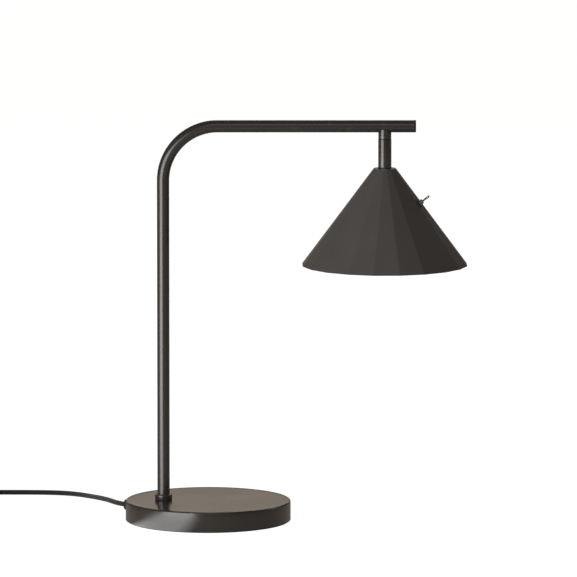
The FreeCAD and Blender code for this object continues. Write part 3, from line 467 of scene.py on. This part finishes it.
def turned(outline, steps=96):
    """Spin an outline of (radius, height, rounding) corners about Z and round its rims."""
    bm = bmesh.new()
    corners = [bm.verts.new((radius, 0, height)) for radius, height, _ in outline]
    pairs = list(zip(corners, corners[1:]))
    if outline[0][0] > 0 or outline[-1][0] > 0:
        pairs.append((corners[-1], corners[0]))
    edges = [bm.edges.new(pair) for pair in pairs]
    bmesh.ops.spin(bm, geom=corners + edges, cent=(0, 0, 0), axis=(0, 0, 1), angle=math.tau,
                   steps=steps, use_merge=True)
    bmesh.ops.remove_doubles(bm, verts=bm.verts, dist=1e-7)
    outwards(bm)
    for radius, height, rounding in outline:
        if rounding:
            soften(bm, rounding, lambda vert: near_ring(vert, radius, height))
    return bm


def near_ring(vert, radius, height):
    """Whether a vertex lies on a level ring."""
    return (abs(vert.co.xy.length - radius) < 1e-6) and (abs(vert.co.z - height) < 1e-6)


def outwards(bm):
    """Point all the faces outwards."""
    bmesh.ops.recalc_face_normals(bm, faces=bm.faces)


def bevel(bm, edges, width, segments):
    bmesh.ops.bevel(bm, geom=edges, offset=width, offset_type="OFFSET", segments=segments,
                    profile=0.5, affect="EDGES", material=-1)


def soften(bm, width, wanted):
    """Round the edges whose two ends pass a test."""
    bevel(bm, [edge for edge in bm.edges if all(wanted(vert) for vert in edge.verts)], width, 4)


def round_sharp(bm, width, segments=3, limit=40.0):
    """Round every edge that turns more than a limit in degrees."""
    edges = [edge for edge in bm.edges
             if edge.is_manifold and edge.calc_face_angle() > math.radians(limit)]
    bevel(bm, edges, width, segments)


def sided_shell(rings, count, start=0.0):
    """A closed shell of flat sides through (corner radius, height) rings."""
    bm = bmesh.new()
    bmesh.ops.create_circle(bm, segments=count, radius=1.0)
    bmesh.ops.rotate(bm, verts=bm.verts, cent=(0, 0, 0),
                     matrix=Matrix.Rotation(start - math.pi / 2, 3, "Z"))
    first = list(bm.edges)
    verts, edges, last = list(bm.verts), first, (1.0, 0.0)
    for number, (radius, height) in enumerate(rings):
        if number:
            verts, edges = extruded(bm, edges)
        scale = radius / last[0]
        bmesh.ops.scale(bm, vec=(scale, scale, 1), verts=verts)
        bmesh.ops.translate(bm, vec=(0, 0, height - last[1]), verts=verts)
        last = (radius, height)
    bmesh.ops.bridge_loops(bm, edges=first + edges)
    outwards(bm)
    return bm


def extruded(bm, edges):
    """Extrude a loop of edges; returns the new loop's vertices and edges."""
    made = bmesh.ops.extrude_edge_only(bm, edges=edges)["geom"]
    verts = [item for item in made if isinstance(item, bmesh.types.BMVert)]
    fresh = set(verts)
    edges = [item for item in made if isinstance(item, bmesh.types.BMEdge)
             and all(vert in fresh for vert in item.verts)]
    return verts, edges


def stations(points):
    """A frame at each point of a line, Z along it, carried on without twist."""
    tangents = [(after - before).normalized()
                for before, after in zip([points[0], *points], [*points[1:], points[-1]])]
    turn = tangents[0].to_track_quat("Z", "Y")
    frames = []
    for point, last, tangent in zip(points, [tangents[0], *tangents], tangents):
        turn = last.rotation_difference(tangent) @ turn
        frames.append(Matrix.Translation(point) @ turn.to_matrix().to_4x4())
    return frames


def swept(points, radius, sides):
    """A round tube along a line, its map holding distance along and turn around."""
    bm = bmesh.new()
    along = bm.verts.layers.float.new("along")
    around = bm.verts.layers.float.new("around")
    verts = bmesh.ops.create_circle(bm, segments=sides, radius=radius)["verts"]
    for number, vert in enumerate(verts):
        vert[around] = number / sides
    edges, first, run = list(bm.edges), list(bm.edges), 0.0
    frames = stations(points)
    bm.transform(frames[0])
    for point, before, last, place in zip(points[1:], points, frames, frames[1:]):
        verts, edges = extruded(bm, edges)
        run += (point - before).length
        move = place @ last.inverted()
        for vert in verts:
            vert.co = move @ vert.co
            vert[along] = run
    bmesh.ops.holes_fill(bm, edges=first + edges, sides=sides)
    outwards(bm)
    lay = bm.loops.layers.uv.new("Lay")
    for face in bm.faces:
        wraps = max(loop.vert[around] for loop in face.loops) > 0.5
        for loop in face.loops:
            turn = loop.vert[around]
            loop[lay].uv = (loop.vert[along], turn + 1 if wraps and turn < 0.25 else turn)
    return bm


def at(x=0.0, y=0.0, z=0.0):
    return Matrix.Translation((x, y, z))


def middle_of(node):
    low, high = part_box(node)
    return (low + high) / 2


def sizes():
    return bpy.context.scene.lamp_sizes


# ---- mains cord
def coil_turns(middle, outer, pitch, low, high):
    """Control points of a two-layer coil: inwards below, outwards above, a step per turn."""
    inner, slip, lift, end = outer - COIL_STEPS * pitch, 55, 1405, 2700
    steps = [(90, outer, low)]
    for ring in range(COIL_STEPS):
        turn = 380 + 360 * ring
        steps += [(turn, outer - ring * pitch, low), (turn + slip, outer - (ring + 1) * pitch, low)]
    steps += [(lift, inner, low), (lift + slip, inner, high)]
    for ring in range(COIL_STEPS):
        turn = 1738 + 360 * ring
        steps += [(turn, inner + ring * pitch, high),
                  (turn + slip, inner + (ring + 1) * pitch, high)]
    steps.append((end, outer, high))
    points = []
    for degrees in range(105, end, 15):
        before, after = [(a, b) for a, b in zip(steps, steps[1:]) if a[0] <= degrees <= b[0]][0]
        share = (degrees - before[0]) / (after[0] - before[0])
        share = share * share * (3 - 2 * share)
        radius = before[1] + share * (after[1] - before[1])
        turn = math.radians(degrees)
        points.append((middle.x + radius * math.cos(turn), middle.y + radius * math.sin(turn),
                       before[2] + share * (after[2] - before[2])))
    return points


def cord_line(points):
    """Points along the smooth NURBS curve that a route's control points give."""
    curve = bpy.data.curves.new("cord_line", "CURVE")
    curve.dimensions = "3D"
    spline = curve.splines.new("NURBS")
    spline.points.add(len(points) - 1)
    for spot, point in zip(spline.points, points):
        spot.co = (*point, 1.0)
    spline.order_u = 3
    spline.use_endpoint_u = True
    spline.resolution_u = 5
    line = bpy.data.objects.new("cord_line", curve)
    mesh = bpy.data.meshes.new_from_object(line)
    path = [vert.co.copy() for vert in mesh.vertices]
    bpy.data.objects.remove(line)
    return path


class LAMP_OT_mains_cord(bpy.types.Operator):
    """Lay the braided cord from the base to its coil and plug, with the tie round the coil"""

    bl_idname = "lamp.mains_cord"
    bl_label = "Mains Cord"

    def execute(self, context):
        coil = middle_of("cord_coil")
        width = sizes().cord_width
        low, high = CORD_ROUTE[-1][2], PLUG_END_ROUTE[0][2]
        turns = coil_turns(coil, sizes().coil_radius, sizes().coil_pitch, low, high)
        path = cord_line(CORD_ROUTE + turns + PLUG_END_ROUTE)
        cord = settle(swept(path, width / 2, 14), "braided_cord", "textile_braid", STAND,
                      ["mains_cord", "cord_coil", "cord_plug_end"])
        tie = self.wrap_tie(coil)
        plug = [mould_plug(), ribbed_relief(), plug_pins()]
        return {"FINISHED"}

    def wrap_tie(self, coil):
        """A woven band wrapped once round the coil's turns."""
        low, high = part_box("cord_coil")
        outer, thick, width, reach = (high.x - low.x) / 2, 0.0008, 0.009, 0.0242
        inner = outer - reach
        bm = bmesh.new()
        corners = [(inner, low.z), (outer, low.z), (outer, high.z), (inner, high.z)]
        verts = [bm.verts.new((x, -width / 2, z)) for x, z in corners]
        edges = [bm.edges.new(pair) for pair in zip(verts, verts[1:] + verts[:1])]
        verts, edges = extruded(bm, edges)
        bmesh.ops.translate(bm, vec=(0, width, 0), verts=verts)
        folds = [edge for edge in bm.edges if abs((edge.verts[0].co - edge.verts[1].co).y) > 1e-6]
        bevel(bm, folds, 0.0022, 4)
        outwards(bm)
        bmesh.ops.solidify(bm, geom=bm.faces, thickness=-thick)
        outwards(bm)
        bm.transform(at(coil.x, coil.y) @ Matrix.Rotation(math.radians(300), 4, "Z"))
        return settle(bm, "coil_tie", "tie_fabric", STAND, ["cord_tie"])


def mould_plug():
    """Flat moulded plug with rounded edges and finger ridges on both faces."""
    low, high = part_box("plug_body")
    wide, deep, thick = high - low
    bm = bmesh.new()
    outline = [(-wide / 2, -deep), (wide / 2, -deep), (wide / 2, -deep / 3), (0.005, 0),
               (-0.005, 0), (-wide / 2, -deep / 3)]
    bottom = bm.faces.new([bm.verts.new((x, y, 0)) for x, y in outline])
    made = bmesh.ops.extrude_face_region(bm, geom=[bottom])["geom"]
    lifted = [item for item in made if isinstance(item, bmesh.types.BMVert)]
    bmesh.ops.translate(bm, vec=(0, 0, thick), verts=lifted)
    outwards(bm)
    round_sharp(bm, 0.003, 5, 25.0)
    first, apart, half, sunk = -deep * 0.36, 0.0028, 0.0007, 0.0006
    for step in range(5):
        spot = first - step * apart
        for side in (spot, spot - half, spot - 2 * half):
            bmesh.ops.bisect_plane(bm, geom=bm.verts[:] + bm.edges[:] + bm.faces[:],
                                   plane_co=(0, side, 0), plane_no=(0, 1, 0))
        for vert in bm.verts:
            if abs(vert.co.y - spot + half) < 1e-6:
                vert.co.z += sunk if vert.co.z < thick / 2 else -sunk
    bm.transform(at((low.x + high.x) / 2, high.y))
    return settle(bm, "plug_moulding", "plug_black", STAND, ["plug_body"], 50.0)


def ribbed_relief():
    """Tapered strain relief with flexible ribs behind the plug."""
    low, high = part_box("plug_relief")
    long = high.y - low.y
    outline = [(0.0031, 0, 0), (0.005, 0, 0.0003)]
    for rib in range(6):
        start, end = 0.1 + rib * 0.13, 0.1 + rib * 0.13 + 0.05
        for share, inset in ((start, 0), (start, 0.0007), (end, 0.0007), (end, 0)):
            outline.append((0.005 - 0.0013 * share - inset, share * long, 0))
    outline += [(0.0037, long, 0.0004), (0.0031, long, 0)]
    bm = turned(outline, 40)
    bm.transform(at((low.x + high.x) / 2, low.y, (low.z + high.z) / 2)
                 @ Matrix.Rotation(-math.pi / 2, 4, "X"))
    return settle(bm, "plug_strain_relief", "plug_black", STAND, ["plug_relief"])


def plug_pins():
    """Two round pins with moulded sleeves at their roots."""
    low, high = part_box("plug_pins")
    long, radius = high.y - low.y, (high.z - low.z) / 2
    both = bmesh.new()
    for x in (low.x + radius, high.x - radius):
        bm = turned([(0, 0, 0), (radius, 0, 0), (radius, 0.0098, 0), (radius * 0.93, 0.01, 0),
                     (radius * 0.93, long - 0.0016, 0), (radius * 0.62, long - 0.0003, 0.0004),
                     (0, long, 0)], 32)
        for face in bm.faces:
            face.material_index = 1 if face.calc_center_median().z < 0.0099 else 0
        bm.transform(at(x, high.y, (low.z + high.z) / 2) @ Matrix.Rotation(math.pi / 2, 4, "X"))
        scratch = bpy.data.meshes.new("pin")
        bm.to_mesh(scratch)
        bm.free()
        both.from_mesh(scratch)
        bpy.data.meshes.remove(scratch)
    return settle(both, "plug_contact_pins", "pin_nickel", STAND, ["plug_pins"],
                  extra=["plug_black"])


# ---- base
class LAMP_OT_base(bpy.types.Operator):
    """Spin the base's painted cover and the bush that the cord leaves by"""

    bl_idname = "lamp.base"
    bl_label = "Base"

    def execute(self, context):
        self.spin_cover()
        self.spin_pad()
        self.spin_gland()
        return {"FINISHED"}

    def spin_cover(self):
        low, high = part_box("base_cover")
        radius, wall = high.x, 0.0015
        bm = turned([(0, high.z, 0), (0.03, high.z, 0), (radius * 0.9, high.z, 0),
                     (radius, high.z, sizes().base_round), (radius, low.z, 0.0003),
                     (radius - wall, low.z, 0.0003), (radius - wall, high.z - wall, 0),
                     (0, high.z - wall, 0)], 160)
        settle(bm, "base_shell", "satin_paint", STAND, ["base_cover"])

    def spin_pad(self):
        _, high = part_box("foot_pad")
        bm = turned([(0, 0, 0), (high.x - 0.004, 0, 0), (high.x - 0.003, 0.0004, 0),
                     (high.x, 0.0004, 0.0002), (high.x, high.z, 0.0003), (0, high.z, 0)], 128)
        settle(bm, "foot_rubber_pad", "foot_rubber", STAND, ["foot_pad"])

    def spin_gland(self):
        """Domed bush on the skirt, with a flange and a moulded groove."""
        outward = Vector((CORD_EXIT[0], CORD_EXIT[1], 0)).normalized()
        bm = turned([(0, -0.004, 0), (0.0053, -0.004, 0), (0.0053, 0.0006, 0), (0.0065, 0.0006, 0),
                     (0.0065, 0.0014, 0.0002), (0.0062, 0.0016, 0), (0.0065, 0.0018, 0),
                     (0.0064, 0.0026, 0), (0.0058, 0.0038, 0.0008), (0.0036, 0.0046, 0.0006),
                     (0, 0.0046, 0)], 64)
        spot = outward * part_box("base_cover")[1].x
        turn = outward.to_track_quat("Z", "Y").to_matrix().to_4x4()
        bm.transform(at(spot.x, spot.y, CORD_EXIT[2]) @ turn)
        settle(bm, "cord_bush", "gland_black", STAND, ["cord_gland"])


# ---- tube and swivel
class LAMP_OT_tube(bpy.types.Operator):
    """Sweep the bent tube and turn its end cap, foot collar and boss"""

    bl_idname = "lamp.tube"
    bl_label = "Tube"

    def execute(self, context):
        low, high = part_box("lamp_tube")
        radius = high.y
        pole, arm, bend = low.x + radius, high.z - radius, sizes().bend_radius
        self.sweep_tube(low, high, pole, arm, bend, radius)
        self.turn_end_cap(arm, radius)
        self.turn_collar(pole, radius)
        self.turn_boss(arm, radius)
        return {"FINISHED"}

    def sweep_tube(self, low, high, pole, arm, bend, radius):
        line = [Vector((pole, 0, low.z)), Vector((pole, 0, (low.z + arm - bend) / 2))]
        for step in range(49):
            turn = math.pi - step / 48 * math.pi / 2
            line.append(Vector((pole + bend + bend * math.cos(turn), 0,
                                arm - bend + bend * math.sin(turn))))
        line += [Vector(((pole + high.x) / 2, 0, arm)), Vector((high.x, 0, arm))]
        settle(swept(line, radius, 64), "bent_tube", "satin_paint", STAND, ["lamp_tube"])

    def turn_end_cap(self, arm, radius):
        """Flush plug in the arm's open end, with a fine seam and a broken outer edge."""
        low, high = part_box("arm_end_cap")
        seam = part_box("lamp_tube")[1].x - low.x
        bm = turned([(0, 0, 0), (radius * 0.78, 0, 0), (radius * 0.78, seam - 0.0001, 0),
                     (radius - 0.00025, seam - 0.0001, 0), (radius - 0.00025, seam + 0.0002, 0),
                     (radius, seam + 0.0004, 0), (radius, high.x - low.x, 0.0005),
                     (0, high.x - low.x, 0)], 64)
        bm.transform(at(low.x, 0, arm) @ Matrix.Rotation(math.pi / 2, 4, "Y"))
        settle(bm, "arm_end_plug", "gland_black", STAND, ["arm_end_cap"])

    def turn_collar(self, pole, radius):
        low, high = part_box("foot_collar")
        outer, tall = high.y, high.z - low.z
        bm = turned([(radius - 0.0001, 0, 0), (outer - 0.0002, 0, 0), (outer, 0.0003, 0),
                     (outer, tall, 0.0012), (radius + 0.0003, tall, 0.0002),
                     (radius - 0.0001, tall - 0.0004, 0)], 72)
        settle(bm, "pole_collar", "satin_paint", STAND, ["foot_collar"], place=at(pole, 0, low.z))

    def turn_boss(self, arm, radius):
        """Boss under the arm, its top cut to sink a little into the tube's underside."""
        low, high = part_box("arm_boss")
        reach, stem, sunk = high.y, (low.x + high.x) / 2, 0.97
        bm = turned([(0.004, low.z, 0), (reach, low.z, 0.0003), (reach, low.z + 0.007, 0),
                     (reach, high.z, 0.0004), (0.004, high.z, 0)], 96)
        for vert in bm.verts:
            inside = math.sqrt(max(0.0, radius ** 2 - vert.co.y ** 2)) * sunk
            if vert.co.z > low.z + 0.0071:
                vert.co.z = min(vert.co.z, arm - inside)
        settle(bm, "arm_boss_saddle", "satin_paint", STAND, ["arm_boss"], 60.0, place=at(stem))


class LAMP_OT_stem(bpy.types.Operator):
    """Turn the stem that carries the shade, and the friction washer over it"""

    bl_idname = "lamp.stem"
    bl_label = "Stem"

    def execute(self, context):
        low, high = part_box("stem_tube")
        reach, stem = high.y, (low.x + high.x) / 2
        bm = turned([(reach - 0.0015, low.z, 0), (reach, low.z, 0.0003), (reach, high.z, 0.0004),
                     (reach - 0.0015, high.z, 0)], 80)
        settle(bm, "stem_sleeve", "satin_paint", HEAD, ["stem_tube"], place=at(stem))
        low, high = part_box("friction_washer")
        bm = turned([(0.004, low.z, 0), (high.y, low.z, 0.0001), (high.y, high.z, 0.0001),
                     (0.004, high.z, 0)], 72)
        settle(bm, "swivel_washer", "nylon_washer", STAND, ["friction_washer"], place=at(stem))
        return {"FINISHED"}


# ---- shade
class LAMP_OT_shade(bpy.types.Operator):
    """Fold the faceted shade with soft creases, a thin rim and a pale lining"""

    bl_idname = "lamp.shade"
    bl_label = "Shade"

    def execute(self, context):
        low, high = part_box("shade")
        stem = middle_of("stem_tube").x
        own = sizes()
        top, rim, wall = own.shade_top_radius, own.shade_rim_radius, own.shade_wall
        turn_in = low.z + own.hem
        slope = (rim - top) / (high.z - turn_in)
        level = wall * math.hypot(1, slope)
        inside_top = top + wall * slope - level
        rings = [(0.0062, high.z), (top, high.z), (rim, turn_in), (rim - 0.0003, low.z),
                 (rim - level + 0.0003, low.z), (rim - level, turn_in),
                 (inside_top, high.z - wall), (0.0062, high.z - wall)]
        bm = sided_shell(rings, own.facets, own.facet_start)
        self.soften_creases(bm, own.crease)
        for face in bm.faces:
            middle = face.calc_center_median()
            inwards = middle.xy.dot(face.normal.xy) < 0 or face.normal.z < -0.9
            face.material_index = 1 if inwards and middle.z > low.z + 0.0002 else 0
            face.smooth = face.calc_area() < 0.0002
        for edge in bm.edges:
            edge.smooth = edge.calc_face_angle() < math.radians(12)
        bm.transform(at(stem))
        hand_over(bm, "faceted_shade", "shade_paint", HEAD, ["shade"], ["shade_lining"])
        return {"FINISHED"}

    def soften_creases(self, bm, width):
        """Round the long creases between facets."""
        shortest = 0.02
        creases = [edge for edge in bm.edges
                   if abs(edge.verts[0].co.xy.length - edge.verts[1].co.xy.length) > shortest]
        bevel(bm, creases, width, 3)


# ---- switch
def switch_place(out=0.0):
    """Frame on the shade at the switch: Z square to the wall, Y up its slope."""
    uphill = Vector(JOINT["switch_toggle"]["axis"]).normalized()
    outward = Vector((-uphill.x, -uphill.y, 0)).normalized()
    level = Vector((0, 0, 1)).cross(outward)
    square = level.cross(uphill)
    spot = Vector(JOINT["switch_toggle"]["pos_m"]) + square * (out - sizes().lever_pivot)
    turn = Matrix((level, uphill, square)).transposed().to_4x4()
    return Matrix.Translation(spot) @ turn


class LAMP_OT_switch(bpy.types.Operator):
    """Turn the toggle switch: threaded bushing, lock ring, nut and bat lever"""

    bl_idname = "lamp.switch"
    bl_label = "Toggle Switch"

    def execute(self, context):
        self.turn_bushing()
        self.cut_lock_ring()
        self.cut_nut()
        self.turn_lever()
        return {"FINISHED"}

    def turn_bushing(self):
        outline = [(0.00215, -0.001, 0), (0.003, -0.001, 0), (0.003, 0.0022, 0)]
        for thread in range(5):
            foot = 0.0023 + thread * 0.0005
            outline += [(0.0027, foot + 0.0001, 0), (0.003, foot + 0.00035, 0)]
        outline += [(0.0027, 0.0048, 0), (0.00215, 0.0048, 0.0001)]
        bm = turned(outline, 48)
        settle(bm, "threaded_bushing", "switch_nickel", HEAD, ["switch_bushing"],
               place=switch_place())

    def cut_lock_ring(self):
        """Thin washer with a knurled rim."""
        corners = 64
        bm = sided_shell([(0.003, 0), (0.005, 0), (0.005, 0.0006), (0.003, 0.0006)], corners)
        for vert in bm.verts:
            if vert.co.xy.length > 0.0045:
                notch = round(math.atan2(vert.co.y, vert.co.x) / math.tau * corners) % 2
                vert.co.xy = vert.co.xy * (0.975 if notch else 1.0)
        round_sharp(bm, 0.00008, 2, 60.0)
        settle(bm, "knurled_lock_ring", "switch_black", HEAD, ["switch_lock_ring"],
               place=switch_place())

    def cut_nut(self):
        """Hexagon nut with both faces chamfered at the corners."""
        corner = 0.004 / math.cos(math.pi / 6)
        bm = sided_shell([(0.0029, 0), (corner * 0.95, 0), (corner, 0.0002), (corner, 0.0018),
                          (corner * 0.95, 0.002), (0.0031, 0.002), (0.0029, 0.0018)], 6)
        round_sharp(bm, 0.00015, 3, 50.0)
        settle(bm, "dress_nut", "switch_nickel", HEAD, ["switch_nut"], place=switch_place(0.0006))

    def turn_lever(self):
        """Bat lever: a ball in the bushing, a waist and a swollen round tip."""
        outline = [(0, -0.00175, 0), (0.0012, -0.0013, 0), (0.00175, 0, 0), (0.0014, 0.001, 0),
                   (0.00095, 0.0019, 0), (0.00105, 0.0055, 0), (0.00135, 0.0105, 0),
                   (0.0015, 0.0128, 0), (0.00125, 0.0138, 0), (0.0007, 0.0143, 0), (0, 0.0144, 0)]
        bm = turned(outline, 32)
        lean = Matrix.Rotation(-sizes().lever_tilt, 4, "Y")
        bm.transform(switch_place(sizes().lever_pivot) @ lean)
        lever = settle(bm, "bat_lever", "switch_nickel", LEVER, ["switch_lever"], 60.0)
        rounder = lever.modifiers.new("Rounder", "SUBSURF")
        rounder.levels = rounder.render_levels = 2


# ---- lamp holder and bulb
class LAMP_OT_holder(bpy.types.Operator):
    """Turn the lamp holder and the globe bulb inside the shade"""

    bl_idname = "lamp.holder"
    bl_label = "Holder and Bulb"

    def execute(self, context):
        self.stem = middle_of("stem_tube").x
        self.turn_holder()
        self.turn_cap()
        self.blow_bulb()
        return {"FINISHED"}

    def turn_holder(self):
        """Two-part holder: a coned cap and a skirt with a lip and grip flutes."""
        low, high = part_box("holder_cap")
        wide = high.y
        bm = turned([(0.005, high.z, 0), (0.007, high.z, 0.0006), (0.007, high.z - 0.005, 0),
                     (wide - 0.0004, low.z + 0.0008, 0.001), (wide - 0.0004, low.z, 0),
                     (wide - 0.0016, low.z, 0), (0.0054, high.z - 0.006, 0),
                     (0.005, high.z - 0.006, 0)], 72)
        settle(bm, "holder_dome", "holder_plastic", HEAD, ["holder_cap"], place=at(self.stem))
        low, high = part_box("holder_skirt")
        bm = turned([(wide - 0.0016, low.z, 0.0002), (wide, low.z, 0.0003),
                     (wide, low.z + 0.0022, 0.0003), (wide - 0.0006, low.z + 0.0028, 0),
                     (wide - 0.0006, high.z - 0.003, 0), (wide, high.z - 0.0024, 0.0003),
                     (wide, high.z, 0.0002), (wide - 0.0016, high.z, 0)], 96)
        self.flute(bm, low.z + 0.0025, high.z - 0.0028, wide)
        settle(bm, "holder_grip", "holder_plastic", HEAD, ["holder_skirt"], place=at(self.stem))

    def flute(self, bm, low, high, wide):
        """Press every fourth strip of the skirt's waist in a little, so that it grips."""
        strips = 96
        for vert in bm.verts:
            step = round(math.atan2(vert.co.y, vert.co.x) / math.tau * strips) % 4
            if low < vert.co.z < high and vert.co.xy.length > wide - 0.001 and step == 0:
                vert.co.xy = vert.co.xy * 0.975

    def turn_cap(self):
        """Bulb's screw cap with rolled thread and a soldered tip."""
        low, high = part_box("bulb_cap")
        radius, long = high.y, high.z - low.z
        outline = [(0, 0, 0), (radius, 0, 0), (radius, 0.003, 0)]
        for thread in range(5):
            foot = 0.0036 + thread * 0.0027
            outline += [(radius * 0.93, foot, 0), (radius * 0.93, foot + 0.0007, 0),
                        (radius, foot + 0.0015, 0), (radius, foot + 0.002, 0)]
        outline += [(radius * 0.8, long - 0.0022, 0), (0.0025, long - 0.0006, 0), (0, long, 0)]
        bm = turned(outline, 56)
        settle(bm, "screw_cap", "plated_brass", HEAD, ["bulb_cap"], place=at(self.stem, 0, low.z))

    def blow_bulb(self):
        """Globe that runs smoothly into its neck."""
        low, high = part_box("bulb_glass")
        radius = high.y
        middle = low.z + radius
        outline = [(0, low.z, 0)]
        for step in range(1, 29):
            turn = math.radians(-90 + step * 5)
            outline.append((radius * math.cos(turn), middle + radius * math.sin(turn), 0))
        outline += [(0.0134, high.z - 0.0098, 0), (0.0118, high.z - 0.0055, 0),
                    (0.011, high.z, 0), (0.0101, high.z, 0), (0.0105, high.z - 0.006, 0)]
        bm = turned(outline + [(0, high.z - 0.012, 0)], 72)
        settle(bm, "globe_bulb", "opal_glass", HEAD, ["bulb_glass"], 60.0, place=at(self.stem))


# ---- parts kept from the frame
class LAMP_OT_frame_finishes(bpy.types.Operator):
    """Give every piece kept from the frame the finish of its material slot"""

    bl_idname = "lamp.frame_finishes"
    bl_label = "Frame Finishes"

    def execute(self, context):
        for node, part in frame["nodes"].items():
            part.data.materials.clear()
            part.data.materials.append(material(SLOT_OF[node]))
        return {"FINISHED"}


# ---- studio
WARM = (1.0, 0.84, 0.72, 1.0)
PLAIN_LIGHT, WARM_LIGHT = (1.0, 0.99, 0.97), (1.0, 0.84, 0.69)
LIT_POINT = (0.08, 0.0, 0.28)
SOFTBOXES = {
    # setting: (name, (degrees right of the camera, degrees up, distance), size, tone)
    "key": ("softbox_left", (-42, 6, 1.6), (1.3, 0.88), PLAIN_LIGHT),
    "front": ("softbox_front", (0, 38, 4.0), (1.5, 2.6), PLAIN_LIGHT),
    "back": ("softbox_back", (180, 10, 3.0), (2.4, 0.8), WARM_LIGHT),
    "back_high": ("softbox_back_high", (165, 38, 3.0), (1.8, 1.4), PLAIN_LIGHT),
    "right": ("softbox_right", (105, 12, 2.6), (0.8, 0.8), PLAIN_LIGHT),
}
# The floor's own grey and the white that the camera sees, and the pool of light on the floor:
# its bearing and half width in radians, and the distances over which it brightens and fades.
FLOOR_GREY = (0.35, 0.35, 0.35, 1.0)
SEEN_WHITE = 0.97
POOL_BEARING = -0.74
POOL_EDGE = (0.3, 0.56)
POOL_RISE = (0.15, 0.8, 1.0, 1.5)
POOL_FADE = (1.6, 2.2)


class LAMP_OT_stage(bpy.types.Operator):
    """Set up the camera, the white floor, the softboxes and the room's light"""

    bl_idname = "lamp.stage"
    bl_label = "Studio"

    def execute(self, context):
        studio = context.scene.lamp_studio
        self.place_camera(context, studio)
        self.lay_floor(studio)
        self.light_room(context, studio)
        for setting, (name, place, size, tone) in SOFTBOXES.items():
            self.softbox(name, place, size, getattr(studio, setting), tone)
        return {"FINISHED"}

    def place_camera(self, context, studio):
        camera = add_object("camera", bpy.data.cameras.new("camera"))
        camera.data.lens = studio.lens
        camera.data.sensor_width = 36.0
        camera.data.clip_end = 200.0
        back = Vector((0, -math.cos(studio.pitch), math.sin(studio.pitch)))
        camera.location = Vector(studio.target) + back * studio.distance
        camera.rotation_euler = (math.pi / 2 - studio.pitch, 0, 0)
        context.scene.camera = camera
        context.scene.view_settings.view_transform = "Standard"
        context.scene.view_settings.look = "None"

    def lay_floor(self, studio):
        """A floor that the camera sees as white; the lamp mirrors it dim and warm, with a pool
        of light that fans out from the base towards the front left."""
        bm = bmesh.new()
        bmesh.ops.create_grid(bm, x_segments=2, y_segments=2, size=60.0)
        mesh = bpy.data.meshes.new("floor")
        bm.to_mesh(mesh)
        bm.free()
        add_object("floor", mesh)
        finish = Finish("floor_white")
        seen = finish.node("ShaderNodeLightPath", output="Is Camera Ray")
        mirrored = finish.node("ShaderNodeLightPath", output="Is Glossy Ray")
        across, deep, _ = finish.axes(finish.place())
        bearing = across.math("ARCTAN2", 0 - deep)
        fan = finish.spread(abs(bearing - POOL_BEARING), *POOL_EDGE, 1.0, 0.0)
        reach = (across * across + deep * deep) ** 0.5
        far = finish.spread(reach, *POOL_RISE) * finish.spread(reach, *POOL_FADE, 1.0, 0.0)
        pool = fan * far * studio.pool
        white = finish.spread(pool + seen, 0.0, 1.0)
        finish.shade(Base_Color=FLOOR_GREY, Roughness=0.9, Specular_IOR_Level=0.0,
                     Emission_Color=finish.blend(white, WARM, (1.0, 1.0, 1.0)),
                     Emission_Strength=seen * SEEN_WHITE + mirrored * (pool + studio.floor_glow))
        mesh.materials.append(finish.material)

    def light_room(self, context, studio):
        """Dim warm light from all round, behind which the camera sees white."""
        world = bpy.data.worlds.new("studio_room")
        context.scene.world = world
        world.use_nodes = True
        nodes, links = world.node_tree.nodes, world.node_tree.links
        path = nodes.new("ShaderNodeLightPath")
        tone = nodes.new("ShaderNodeMix")
        tone.data_type = "RGBA"
        tone.inputs[6].default_value = tint(WARM, studio.room)
        tone.inputs[7].default_value = (1.0, 1.0, 1.0, 1.0)
        links.new(path.outputs["Is Camera Ray"], tone.inputs[0])
        links.new(tone.outputs[2], nodes["Background"].inputs["Color"])

    def softbox(self, name, place, size, power, tone):
        """An area light that faces the lamp, unseen by the camera."""
        azimuth, elevation, distance = place
        light = bpy.data.lights.new(name, "AREA")
        light.shape = "RECTANGLE"
        light.size, light.size_y = size
        light.energy = power
        light.color = tone
        turn, rise = math.radians(azimuth), math.radians(elevation)
        towards = Vector((math.sin(turn) * math.cos(rise), -math.cos(turn) * math.cos(rise),
                          math.sin(rise)))
        box = add_object(name, light)
        box.location = Vector(LIT_POINT) + towards * distance
        box.rotation_euler = towards.to_track_quat("Z", "Y").to_euler()
        box.visible_camera = False


# ---- panel and running
OPERATORS = (LAMP_OT_stage, LAMP_OT_frame_finishes, LAMP_OT_mains_cord, LAMP_OT_base,
             LAMP_OT_tube, LAMP_OT_stem, LAMP_OT_shade, LAMP_OT_switch, LAMP_OT_holder)
GROUPS = {"lamp_sizes": LampSizes, "lamp_colours": LampColours, "lamp_studio": StudioSettings}


class LAMP_PT_panel(bpy.types.Panel):
    """Lists the lamp's pieces and their sizes, colours and studio settings"""

    bl_idname = "LAMP_PT_panel"
    bl_label = "Desk Lamp"
    bl_space_type = "VIEW_3D"
    bl_region_type = "UI"
    bl_category = "Desk Lamp"

    def draw(self, context):
        for operator in OPERATORS:
            self.layout.operator(operator.bl_idname)
        for place, kind in GROUPS.items():
            box = self.layout.box()
            for name in kind.__annotations__:
                box.prop(getattr(context.scene, place), name)


CLASSES = (*GROUPS.values(), *OPERATORS, LAMP_PT_panel)


def register():
    for each in CLASSES:
        bpy.utils.register_class(each)
    for place, kind in GROUPS.items():
        setattr(bpy.types.Scene, place, PointerProperty(type=kind))


def unregister():
    for place in GROUPS:
        delattr(bpy.types.Scene, place)
    for each in reversed(CLASSES):
        bpy.utils.unregister_class(each)


def main():
    register()
    for operator in OPERATORS:
        getattr(bpy.ops.lamp, operator.bl_idname.partition(".")[2])()


if __name__ == "__main__":
    main()
